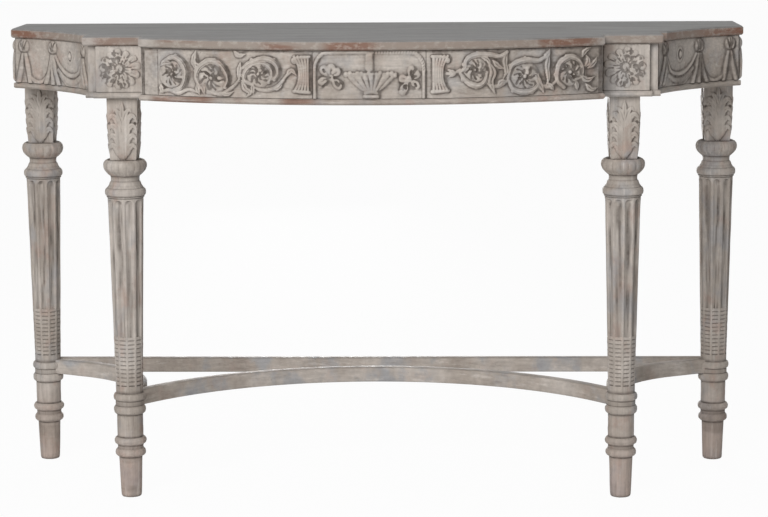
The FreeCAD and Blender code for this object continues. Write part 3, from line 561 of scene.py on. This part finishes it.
border = arched([(99, -43), (99, 10), (95.5, 26), (87, 36), (75, 40.5)], 41)
inner = arched([(95, -43), (95, 10), (91, 24), (83.5, 32.5), (73, 37)], 37.5)
front.roll(border, 6.5, 2.8, (1, 1))
front.cut(inner, 3.2, 2.2)
front.cut([(-GROOVE, -43), (-GROOVE, 44)], 3.0, 1.6)
front.cut([(GROOVE, -43), (GROOVE, 44)], 3.0, 2.2)
fine = drawn_line(border, 20)
gone = np.append(0, np.cumsum(np.hypot(*np.diff(fine, axis=0).T)))
far = np.arange(gone[-1] * 0.53, gone[-1] - 50, 5.2)
beads = list(zip(np.interp(far, gone, fine[:, 0]), np.interp(far, gone, fine[:, 1])))
for x, z in beads:
    front.cut([(x * 0.99, z - 1.2), (x * 1.01, z + 1.2)], 2.6, 2.4)
front.roll([(1, 12), (1, 38)], 15, 2.4, (1, 0.95))
front.cut([(9.4, 10), (9.4, 37)], 4.2, 2.6)
print("border of", len(beads), "beads")

# %% The fluted bowl, its foot and the sprays beside it
URN_X, BOWL_LOW, BOWL_HIGH = 4, -31, 3
rise = np.clip((front.z - BOWL_LOW) / 33, 0, 1)
reach = 11 + 37 * rise**0.75
inside = (np.abs(front.x - URN_X) < reach) & (front.z > BOWL_LOW) & (front.z < BOWL_HIGH)
fan = np.arctan2(front.x - URN_X, front.z + 42)
belly = np.sqrt(np.clip(1.05 - ((front.x - URN_X) / reach) ** 2, 0, 1))
bowl = 4.8 * belly * (0.3 + 0.7 * np.abs(np.cos(fan * 11)) ** 0.6)
front.h = np.where(inside, np.maximum(front.h, bowl), front.h)
for k, x in enumerate(np.arange(-42, 54, 6.9)):
    front.dome((x, 1.0 + 1.6 * math.sin(2.3 * k)), 4.4, 3.9)
    front.cut([(x + 3.4, -4), (x + 2.4, 2)], 2.8, 0.9)
front.roll([(-7, -33), (4, -31), (15, -33)], 7, 4.4, (0.8, 0.8))
front.roll([(-8, -39.5), (16, -39.5)], 7, 4.8, (0.9, 0.9))
# each spray: its heart, and for each lobe its direction in degrees, start, end and width
sprays = [((-70, -4), ((132, 2, 26, 21), (86, 2, 24, 22), (40, 3, 23, 18), (-46, 3, 29, 20),
                       (206, 3, 26, 19))),
          ((72, -8), ((74, 3, 25, 17), (26, 3, 24, 16), (176, 1, 18, 19), (-38, 3, 26, 17),
                      (-116, 3, 32, 20)))]
for heart, lobes in sprays:
    for degrees, start, end, width in lobes:
        front.petal(math.radians(degrees), start, end, width, 4.4, heart)
        tip = [on_ring(heart, r, math.radians(degrees + bend))
               for r, bend in ((end * 0.5, -8), (end * 0.8, -14))]
        front.cut(tip, 3.4, 0.9)
    front.dome(heart, 6.5, 5.2)
    front.cut([heart, (heart[0] + 1, heart[1] - 1)], 5, 2.2)
front.h = np.where(np.abs(front.x) < TABLET, softened(front.h, 1.0), front.h)
for eye in ((-83, 10), (-59, -13), (79, -1), (65, -21), (84, -17)):
    front.cut([eye, (eye[0] + 1.5, eye[1] - 4)], 5.4, 3.0)
for spot, size in (((-84, -14), 12), ((-54, -18), 9), ((80, 2), 11), ((84, -20), 10), ((-68, -5), 10),
                   ((64, -22), 12)):
    front.stain(spot, size, 0.36)
# painted shadow along the upper edge, under the overhang of the top; a dark joint line beside each corner
# block
front.soil_and_shade += 0.75 * np.clip((front.z - 38) / 6, 0, 1) + 0.9 * (np.abs(front.x) > 422)
front.cut([(-396, -44), (-396, 44)], 3.0, 0.8)
# painted shade growing towards the right end of the bow, as if lit from the left; the plain strip at the left
# end and the tablet's ground are a little darker
front.soil_and_shade += (0.24 * np.clip((front.x - 290) / 120, 0, 1) + 0.2 * (front.x < -396)
               + 0.05 * (np.abs(front.x) < TABLET))
front.wear(0.13, 11)
print("highest carving stands", round(float(front.h.max()), 2), "mm proud")

# %% The front in three pieces: left scrolls, tablet, right scrolls
pieces = {"carved_front_left": (0, 326, ("scroll_panel_left", "spool_left")),
          "carved_tablet": (326, 533, ("tablet", "urn")),
          "carved_front_right": (533, 859, ("scroll_panel_right", "spool_right"))}
for name, (start, stop, replaced) in pieces.items():
    made = carved_skin(name, on_bow, front, np.s_[start:stop, :], replaced, washed_carving)
    print(name, len(made.data.vertices), "points, for", replaced)

# %% [markdown]
# ## Swags on the hollow sides
# Cloth is shown hanging from three knots on each side, with falling tails and a small oval between.
# It is drawn once, along the curve of the side, and mirrored; the right side has more painted shade,
# on its slopes and all over, and more dirt on its raised folds.

# %% Drapery, drawn in degrees of the hollow curve
HOLLOW_R, HOLLOW_X, HOLLOW_Y = 460.4, 964.95, -256.33
DEGREE = HOLLOW_R * math.pi / 180


def on_hollow(side):
    def place(along, z, out):
        angle = np.radians(along / DEGREE)
        reach = HOLLOW_R - out
        x, y = HOLLOW_X - np.cos(angle) * reach, HOLLOW_Y + np.sin(angle) * reach
        return np.stack([side * x, y, z + MID_Z], -1)
    return place


cloth = Carving(np.arange(23.2 * DEGREE, 57.2 * DEGREE, 1.0), rows)


def at(points):
    return [(degrees * DEGREE, z) for degrees, z in points]


folds = [([(42.7, 20), (40.4, -4), (37.2, -19), (33.8, -22), (30.4, -14), (28.2, 12)], 9, 4.2),
         ([(41.0, -14), (37.4, -31), (33.4, -35), (29.6, -24)], 15, 3.4),
         ([(40.4, -24), (36.6, -41), (32.0, -42)], 9, 2.4),
         ([(53.2, -22), (51.4, -36), (49.4, -42), (47.4, -37), (46.0, -26)], 9, 3.2)]
for line, width, height in folds:
    cloth.roll(at(line), width, height, (0.55, 0.55))
print(len(folds), "folds of cloth")

# %% Tails, knots and the oval
tails = [([(27.0, 22), (26.0, -6), (23.9, -34)], 12), ([(27.5, 20), (27.6, -10), (26.2, -36)], 10),
         ([(43.0, 20), (42.2, -14), (40.8, -43)], 13), ([(43.3, 20), (43.4, -14), (43.3, -43)], 13),
         ([(43.7, 20), (44.6, -14), (46.4, -43)], 13), ([(54.0, 22), (53.1, -10), (52.3, -42)], 13),
         ([(54.5, 22), (55.2, -10), (56.4, -43)], 13)]
for line, width in tails:
    cloth.roll(at(line), width, 4.8, (0.5, 1.0))
for degrees in (27.2, 43.3, 54.3):
    knot = (degrees * DEGREE, 28)
    cloth.dome(knot, 14, 6.4)
    for lean in (-7, 0, 7):
        cloth.cut([(knot[0] + lean, 38), (knot[0] + 0.4 * lean, 21)], 4.4, 3.6)
    cloth.cut([(knot[0] - 9, 17), (knot[0] + 9, 17)], 4.5, 3.0)
    cloth.stain(knot, 12, 0.3)
oval = (35.2 * DEGREE, 15)
cloth.dome(oval, 11, 4.6, tall=1.35)
cloth.h -= 4.4 * np.exp(-(((cloth.polar(oval, 1.35)[0] - 6.5) / 1.8) ** 2))
cloth.h = softened(cloth.h, 1.0)
cloth.wear(0.12, 12)
cloth.soil_and_shade += 0.2 * np.clip(cloth.h / 3, 0, 1)
# the right swag gets more painted shade on its falling slopes than the left
for side, name in ((-1, "left"), (1, "right")):
    made = carved_skin("swags_carved_" + name, on_hollow(side), cloth, WHOLE, ("swags_" + name,),
                       washed_carving, slope_shade=0.6 + 0.25 * side, soft=1.6)
    # after the left swag: painted shade over the whole right swag, and more dirt on its raised cloth
    cloth.soil_and_shade += 0.1 + 0.3 * np.clip(cloth.h / 4, 0, 1)
    print(made.name, len(made.data.vertices), "points")

# %% The same cloth on the straight ends
END_X, END_Y, KNOT = 717, 213, 62
drape = Carving(np.arange(-78, 78.5, 1.0), rows)
for width, low, height in ((9, -24, 4.4), (14, -36, 3.6)):
    side_z = 6 + 0.6 * low
    swag = [(-54, 24), (-38, side_z), (0, low), (38, side_z), (54, 24)]
    drape.roll(swag, width, height, (0.5, 0.5))
for edge in (-1, 1):
    for lean in (-8, 0, 8):
        tail = [(edge * KNOT, 20), (edge * (KNOT + 0.6 * lean), -12), (edge * (KNOT + lean), -38)]
        drape.roll(tail, 14, 8.2, (0.55, 0.8))
    drape.dome((edge * KNOT, 28), 13, 8.0)
    drape.cut([(edge * KNOT, 38), (edge * KNOT, 19)], 3.6, 2.4)
drape.h = softened(drape.h, 1.3)
drape.wear(0.12, 13)
for side, name in ((-1, "left"), (1, "right")):
    def on_end(y, z, out):
        return np.stack([side * (END_X + out), END_Y + y, z + MID_Z], -1)
    # the end swags get little painted shade on their falling slopes
    made = carved_skin("swag_end_" + name, on_end, drape, WHOLE, (), washed_carving, slope_shade=0.35, soft=1.6)
    print(made.name, len(made.data.vertices), "points")

# %% [markdown]
# ## Rosettes on the corner blocks
# Two rows of petals round a boss, with deep gouge cuts between the petal tips. The cuts catch
# the dirt, and read as dark drops from a distance.

# %% Rosettes
OUTER, INNER, BLOCK_X = 13, 9, 477  # petals in each row, and the middle of the block
petals = Carving(np.arange(-45.6, 45.8, 0.8), np.arange(FRIEZE_LOW, FRIEZE_HIGH, 0.8))
spread = np.random.default_rng(5).normal(size=(2, OUTER))
for k in range(OUTER):
    turn = 0.2 + (k + 0.1 * spread[0, k]) * 2 * math.pi / OUTER
    petals.petal(turn, 13, 39 + 1.4 * spread[1, k], 18.5, 2.7)
for k in range(INNER):
    turn = 0.5 + (k + 0.12 * spread[1, k]) * 2 * math.pi / INNER
    petals.petal(turn, 5, 24 + spread[0, k], 14.5, 3.9)
for k in range(OUTER):
    turn = 0.2 + (k + 0.5) * 2 * math.pi / OUTER
    c, s, far = math.cos(turn), math.sin(turn), 34 + 1.5 * spread[1, k]
    gouge = [((27 - 3 * (c > 0)) * c, 27 * s), (far * c, far * s)]
    petals.cut(gouge, 4.4 + 0.9 * spread[0, k], 2.2 + 0.8 * (c > 0))
# four of the inner gaps are gone over twice, so they are deeper
for k in (*range(INNER), *range(4)):
    turn = 0.5 + (k + 0.5) * 2 * math.pi / INNER
    petals.cut([on_ring((0, 0), 15, turn), on_ring((0, 0), 22, turn)], 3.0, 1.5)
for spot, size, amount in (((-18, -14), 18, 0.62), ((-24, 8), 14, 0.55), ((-8, 25), 11, 0.5),
                           ((6, -24), 12, 0.45), ((4, 2), 14, 0.34)):
    petals.stain(spot, size, amount)
# painted shadow along the upper edge, under the overhang of the top
petals.soil_and_shade += 0.35 * np.clip((petals.z - 38) / 6, 0, 1)
petals.h -= 2.2 * np.exp(-(((petals.polar((0, 0))[0] - 9.5) / 1.5) ** 2))
petals.dome((0, 0), 8, 4.4)
petals.cut([(0, 0), (0.5, 0)], 8, 2.0)
petals.cut([(45, -50), (45, 50)], 4.4, 3.4)
petals.wear(0.2, 14)
for side, name in ((-1, "left"), (1, "right")):
    face_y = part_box("corner_block_" + name)[0].y / MM

    def on_block(x, z, out):
        return np.stack([side * (BLOCK_X - x), 0 * x + face_y - out, z + MID_Z], -1)
    made = carved_skin("rosette_carved_" + name, on_block, petals, WHOLE, ("rosette_" + name,), washed_block)
    print(made.name, "on a face at y", round(face_y, 1), "mm")

# %% [markdown]
# ## Turned legs
# A turner left a square block at the head for the carver, then worked a gadrooned collar, a
# cap ring, a tapering shaft with ten flutes, and rings above the foot. In the lowest part each
# flute is filled with a stack of small wedges. The leg is one radius for each angle and height, so
# it is built as rings of points. All four legs share it, each turned to show another side.

# %% Leaves for the head of the leg
HEAD_HALF, HEAD_CELL, HEAD_TOP, HEAD_LOW = 29, 0.8, 782, 662
head = Carving(np.arange(-HEAD_HALF, HEAD_HALF + 0.1, HEAD_CELL), np.arange(0, HEAD_TOP - HEAD_LOW + 1, 1.0))
for k, z in enumerate((14, 33, 52, 71)):
    for side in (-1, 1):
        curl = [(side * x, z + lift) for x, lift in ((2, -13), (9, 4), (18, 14), (25, 9), (24, 3))]
        head.leaf(curl, 14, 3.2, lobes=3)
        head.roll([(side * 1.2, 2 + k * 10), (side * 5, z - 4), (side * 13, z + 10)], 3.0, 3.2, (0.6, 0.5))
        head.cut([(side * 20, z + 3), (side * 26, z - 1)], 5, 2.6)
for side in (-1, 1):
    head.leaf([(side * 1.5, 74), (side * 7, 90), (side * 14, 97), (side * 17, 91)], 10, 3.0, lobes=2)
head.leaf([(0, 78), (0, 93), (0, 113)], 11, 3.4, lobes=3)
head.roll([(0, 2), (0, 40), (0, 80)], 4, 3.0, (1, 0.5))
head.h *= np.clip((HEAD_HALF - np.abs(head.x)) / 4, 0.8, 1)
head.wear(0.09, 15)
# the leaves' slopes that fall one way get painted shade
head_tone = head.patina_and_shade(2.2, 1.9, slope_shade=0.6)
print("leg head carving up to", round(float(head.h.max()), 2), "mm")

# %% The turner's outline, from the top down, in millimetres
outline = [(661.9, 33), (660, 37.4), (656, 40.8), (651, 42), (646, 41.7), (641, 39.8), (637, 36.6),
           (633, 32.6), (631, 30.2), (630, 28.2), (626, 27.2), (620, 27.4), (617.5, 29.6), (616, 30),
           (612, 31.4), (609, 33.6), (607.6, 34.6), (606.8, 34.4), (606, 36.6), (603, 38.8), (599, 39.5),
           (595, 39), (592.6, 37.6), (592, 35.6), (590.6, 35.6), (590, 36.6), (588.8, 36), (588.2, 33.6),
           (587, 34.4), (207, 26), (205.8, 26.8), (204.5, 29.4), (201, 30.9), (197, 31), (193.5, 30),
           (191.8, 27.6), (191, 26.8), (190, 27.4), (183, 27.4), (181.8, 26.9), (180.6, 28.6),
           (177, 30.8), (172.5, 31), (168, 30), (165.4, 27.4), (164.4, 25.2), (160, 25.2), (121, 25),
           (119.6, 25.2), (118, 28.6), (114, 30.9), (110.5, 31), (107, 29.8), (104.6, 26.6), (103, 25),
           (98, 24.8), (96, 25.8), (93, 28.6), (89, 29.5), (85, 29), (82, 26.4), (80.4, 23), (78, 22.5),
           (6, 19.9), (2.4, 19.2), (0.6, 17.8), (0, 15.5)]
# rings lie close together where the outline or the flutes change quickly
runs = [np.arange(322, 588, 5.0), np.arange(571, 586, 1.2), [318.4, 220.8, 219.6, 214],
        np.arange(221, 318.3, 0.81), np.arange(190, 206, 1.2), np.arange(80, 182, 1.6),
        np.arange(589, 662, 1.1), np.arange(10, 80, 6.0)]
heights = np.unique(np.concatenate([[z for z, _ in outline]] + runs))[::-1]
radius = np.interp(heights, *np.array(outline[::-1]).T)
COLUMNS, FLUTES, GADROONS = 200, 10, 16
theta = np.arange(COLUMNS) * 2 * math.pi / COLUMNS
print(len(heights), "rings of", COLUMNS, "points below the block")

# %% Gadroons, flutes and stopped flutes
ring, turn = np.meshgrid(radius, theta, indexing="ij")
level = np.repeat(heights[:, None], COLUMNS, 1)
COLLAR_LOW, SHAFT_TOP, FLUTE_TOP, STOP_TOP, STOP_LOW = 630, 587, 584, 318, 221
collar = (level < HEAD_LOW) & (level > COLLAR_LOW)
lobe = np.abs(np.cos(turn * GADROONS / 2))
rise = np.clip((level - COLLAR_LOW) / (HEAD_LOW - COLLAR_LOW), 0, 1)
gadroon = np.where(collar, np.sin(rise * math.pi) ** 0.5 * (1 - lobe**0.5), 0)
flute = np.abs((turn * FLUTES / (2 * math.pi) + 0.5) % 1 - 0.5) * 2
WIDE, BAR_STEP, WEDGE = 0.8, 8.1, 0.74  # share of a flute that is cut; one bar, and its wedge's share
taper = np.interp(level, (STOP_LOW, SHAFT_TOP), (0.76, 1.0))
down = np.clip((FLUTE_TOP - level) / 8, 0, 1)
cap = np.sqrt(down * (2 - down))
hollow = np.clip(1 - (flute / (WIDE * np.maximum(cap, 0.05))) ** 2, 0, 1) ** 0.6
open_flute = np.where((level > STOP_TOP) & (level < FLUTE_TOP), hollow, 0)
bar = ((STOP_TOP - level) / BAR_STEP) % 1
wedge = np.where(bar < WEDGE, 0.6 - 0.5 * bar / WEDGE, np.where(bar < 0.87, 1.0, 0.8))
filled = np.clip(1 - (flute / WIDE) ** 4, 0, 1) ** 0.6 * wedge
stopped = np.where((level <= STOP_TOP) & (level >= STOP_LOW), filled, 0)
ring = ring - 1.9 * gadroon - 3.9 * taper * open_flute - 2.4 * stopped
every_mm = np.arange(0, HEAD_LOW + 1.0)
even = np.interp(every_mm, heights[::-1], radius[::-1])
swell = np.interp(heights, every_mm, softened(even[:, None], 3.2)[:, 0])

# %% Wear and dirt on the turning
rubbed = softened(np.random.default_rng(16).normal(size=ring.shape), 3.0)
long_marks = np.random.default_rng(17).normal(size=(len(ring) // 8 + 1, COLUMNS)).repeat(8, axis=0)
grime = softened(long_marks[:len(ring)], 1.8)
flute_dirt = open_flute * np.clip(0.27 + 0.4 * grime, 0.1, 0.5) * (flute < 0.9 * WIDE)
ridge = (flute > WIDE) * (level < SHAFT_TOP) * (level > STOP_LOW)
tone = np.clip((radius - swell) / 2.6, -0.7, 0.6)[:, None] - 0.5 * gadroon - flute_dirt
tone = tone - 0.32 * (stopped > 0.3) * (bar > WEDGE) + 0.2 * ridge
ring = ring + 1.2 * rubbed
turned = np.stack([ring * np.cos(turn), ring * np.sin(turn), level], -1)
print("shaft radius", round(float(radius.max()), 1), "to", round(float(radius.min()), 1), "mm")

# %% The square head, and four legs from one mesh
head_z = np.concatenate([np.arange(HEAD_TOP, HEAD_LOW, -1.2), [HEAD_LOW]])
half = np.interp(head_z, (HEAD_LOW, 690, 745, HEAD_TOP), (25, 27, HEAD_HALF, HEAD_HALF))
face = np.round(theta / (math.pi / 2)).astype(int)
local = theta - face * math.pi / 2
across = half[:, None] * np.tan(local)[None]
cell_x = np.clip((across + HEAD_HALF) / HEAD_CELL, 0, head.h.shape[0] - 1.01)
cell_z = np.clip((head_z - HEAD_LOW)[:, None] + 0 * across, 0, 119.9)
i, j = cell_x.astype(int), cell_z.astype(int)
fx, fz = cell_x - i, cell_z - j


def sampled(field):
    lower = field[i, j] * (1 - fx) + field[i + 1, j] * fx
    upper = field[i, j + 1] * (1 - fx) + field[i + 1, j + 1] * fx
    return lower * (1 - fz) + upper * fz


out = half[:, None] + sampled(softened(head.h, 1.0))
c, s = np.cos(face * math.pi / 2), np.sin(face * math.pi / 2)
block = np.stack([out * c - across * s, out * s + across * c,
                  np.repeat(head_z[:, None], COLUMNS, 1)], -1)
loops = np.concatenate([block, turned]) * MM
leg_tone = np.concatenate([sampled(head_tone), tone])
first = None
for name, quarters in (("front_left", 0), ("front_right", 2), ("rear_left", 1), ("rear_right", 3)):
    low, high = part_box("leg_" + name)
    if first is None:
        first = lofted("turned_leg_" + name, loops, leg_tone, washed_upright)
        leg = first
    else:
        leg = set_in_place(bpy.data.objects.new("turned_leg_" + name, first.data), washed_upright)
    leg.location = ((low.x + high.x) / 2, (low.y + high.y) / 2, 0)
    leg.rotation_euler.z = quarters * math.pi / 2
    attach(leg, "root")
    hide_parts("leg_" + name)
    print(leg.name, "stands at", [round(v, 3) for v in leg.location])

# %% [markdown]
# ## Stretchers
# Low bars tie the legs: a straight one at the back, a hollow one in front and a curved one at each
# side. Each is a sweep of one softly rounded section along its own line.

# %% Bars swept along their lines
BAR_THICK, ROUND_OFF = 25, 3.0
low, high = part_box("stretcher_back")
BAR_LOW, BAR_HIGH = low.z / MM, high.z / MM


def bar_section():
    turn = np.radians(np.arange(0, 360, 15))
    corner = np.stack([np.cos(turn), np.sin(turn)], 1) * ROUND_OFF
    middle = np.array([0, (BAR_LOW + BAR_HIGH) / 2])
    flats = np.array([BAR_THICK / 2 - ROUND_OFF, (BAR_HIGH - BAR_LOW) / 2 - ROUND_OFF])
    return middle + corner + np.sign(np.round(corner, 6)) * flats


def swept_bar(name, line, replaced, slimmer=0.0):
    line = np.array(line, float)
    ahead = np.gradient(line, axis=0)
    ahead /= np.hypot(*ahead.T)[:, None]
    aside = np.stack([-ahead[:, 1], ahead[:, 0]], 1)
    section = bar_section()
    full = 1 - np.broadcast_to(slimmer, len(line))[:, None, None] / BAR_THICK
    loops = np.concatenate([line[:, None] + aside[:, None] * section[None, :, :1] * full,
                            np.repeat(section[None, :, 1:], len(line), 0)], -1)
    lofted(name, loops * MM, np.zeros(loops.shape[:2]), washed_bar, replaced)
    print(name, round(float(np.hypot(*np.diff(line, axis=0).T).sum()), 1), "mm long")


def round_line(centre, reach, start, end, count):
    turn = np.linspace(start, end, count)
    return np.stack([centre[0] + reach * np.cos(turn), centre[1] + reach * np.sin(turn)], 1)


middle_y = (low.y + high.y) / 2 / MM
back_line = [(x, middle_y) for x in np.linspace(low.x / MM, high.x / MM, 40)]
swept_bar("back_bar", back_line, ("stretcher_back",))

# %% The hollow front bar and the curved side bars
FRONT_R, FRONT_Y, FRONT_HALF = 570, -406, 460
SIDE_R, SIDE_X, SIDE_Y = 248.4, 714, -3.5
FRONT_LEG, REAR_LEG = (477, -76), (688, 243.3)  # where the line of a side bar starts and ends
SLIMMED, SLIM_POINTS = 9, 12  # mm taken off the front face, over the last points at the rear leg
spread = math.asin(FRONT_HALF / FRONT_R)
front_line = round_line((0, FRONT_Y), FRONT_R, math.pi / 2 - spread, math.pi / 2 + spread, 90)
swept_bar("front_bar", front_line, ("stretcher_front",))
start, end = (math.atan2(y - SIDE_Y, x - SIDE_X) for x, y in (FRONT_LEG, REAR_LEG))
for side, name in ((-1, "left"), (1, "right")):
    line = round_line((SIDE_X, SIDE_Y), SIDE_R, start % (2 * math.pi), end, 70)[4:-3]
    last = SLIM_POINTS - 1
    share = np.clip(np.arange(len(line)) - len(line) + SLIM_POINTS, 0, last) / last
    slimmer = SLIMMED * share**2 * (3 - 2 * share)
    line[:, 1] += slimmer / 2
    line[:, 0] *= side
    swept_bar("side_bar_" + name, line, ("stretcher_side_" + name,), slimmer)

# %% [markdown]
# ## Studio
# A pale floor that runs on without an edge, one broad soft lamp from the front left, a weak low
# lamp behind for the back of the table, and an even light from all round. Floor and surroundings
# are white to the camera and in reflections, but give less light than they show. The floor keeps
# a little of its own shading, so the table's shadow stays.

# %% Floor and surrounding light
def looked_at(paint):
    rays = [paint.node("LightPath", out="Is %s Ray" % kind) for kind in ("Camera", "Glossy", "Transmission")]
    return paint.maths("ADD", rays[0] + rays[1], rays[2], clamp=True)


floor_mesh = bpy.data.meshes.new("studio_floor")
FLOOR = 30  # metres from the middle to the edge
floor_mesh.from_pydata([(-FLOOR, -FLOOR, 0), (FLOOR, -FLOOR, 0), (FLOOR, FLOOR, 0), (-FLOOR, FLOOR, 0)],
                       [], [(0, 1, 2, 3)])
floor = bpy.data.objects.new("studio_floor", floor_mesh)
bpy.context.scene.collection.objects.link(floor)
pale, paint, surface = new_finish("pale_floor")
surface.inputs["Base Color"].default_value = (0.8, 0.8, 0.8, 1)
surface.inputs["Roughness"].default_value = 0.9
white = paint.node("Emission", {}, {"Color": (1, 1, 1, 1), "Strength": 1.0})
mixed = paint.node("MixShader", {}, {0: looked_at(paint) * 0.96, 1: Layer(pale.node_tree, surface.outputs[0]),
                                     2: white})
pale.node_tree.links.new(mixed.socket, pale.node_tree.nodes["Material Output"].inputs["Surface"])
floor_mesh.materials.append(pale)
world = bpy.data.worlds.new("studio_light")
world.use_nodes = True
bpy.context.scene.world = world
sky = Layer(world.node_tree)
background = world.node_tree.nodes["Background"]
background.inputs["Color"].default_value = (1, 1, 1, 1)
EVEN = 0.24  # strength of the even light, as the table receives it
world.node_tree.links.new((looked_at(sky) * (1 - EVEN) + EVEN).socket, background.inputs["Strength"])
print("floor and even light ready")

# %% Soft lamps
def soft_lamp(name, spot, aim, size, power, spread=180):
    lamp = bpy.data.lights.new(name, "AREA")
    lamp.size, lamp.energy, lamp.spread = size, power, math.radians(spread)
    stand = bpy.data.objects.new(name, lamp)
    stand.location, stand.visible_camera = spot, False
    stand.rotation_euler = (Vector(aim) - Vector(spot)).to_track_quat("-Z", "Y").to_euler()
    bpy.context.scene.collection.objects.link(stand)


soft_lamp("window_lamp", (-1.8, -5.8, 3.2), (0, 0, 0.5), size=3.6, power=300)
soft_lamp("back_lamp", (-0.45, 4.6, 0.45), (0, 0, 0.45), size=0.8, power=6.5, spread=40)
print("lamps:", [lamp.name for lamp in bpy.data.lights])

# %% [markdown]
# ### Camera
# The camera stands where the photographer stood. Its place and angles, in metres and radians, were
# fitted to the legs, the top and the stretchers; the focal length is in pixels of the photograph.

# %% Camera
CAMERA_SPOT, PHOTO_WIDTH, SENSOR = (0.1503, -4.9638, 1.1915), 768, 36
YAW, PITCH, ROLL, FOCAL = 0.0268, 0.1470, -0.0057, 2568.2
ahead = Vector((-math.sin(YAW) * math.cos(PITCH), math.cos(YAW) * math.cos(PITCH), -math.sin(PITCH)))
right = Vector((math.cos(YAW), math.sin(YAW), 0))
up = right.cross(ahead)
right, up = math.cos(ROLL) * right + math.sin(ROLL) * up, math.cos(ROLL) * up - math.sin(ROLL) * right
lens = bpy.data.cameras.new("photo_view")
lens.sensor_fit, lens.sensor_width = "HORIZONTAL", SENSOR
lens.lens = SENSOR * FOCAL / PHOTO_WIDTH
camera = bpy.data.objects.new("photo_view", lens)
turn = Matrix((right, up, -ahead)).transposed().to_4x4()
camera.matrix_world = Matrix.Translation(CAMERA_SPOT) @ turn
bpy.context.scene.collection.objects.link(camera)
bpy.context.scene.camera = camera
bpy.context.scene.view_settings.view_transform = "Standard"
print("lens", round(lens.lens, 1), "mm")
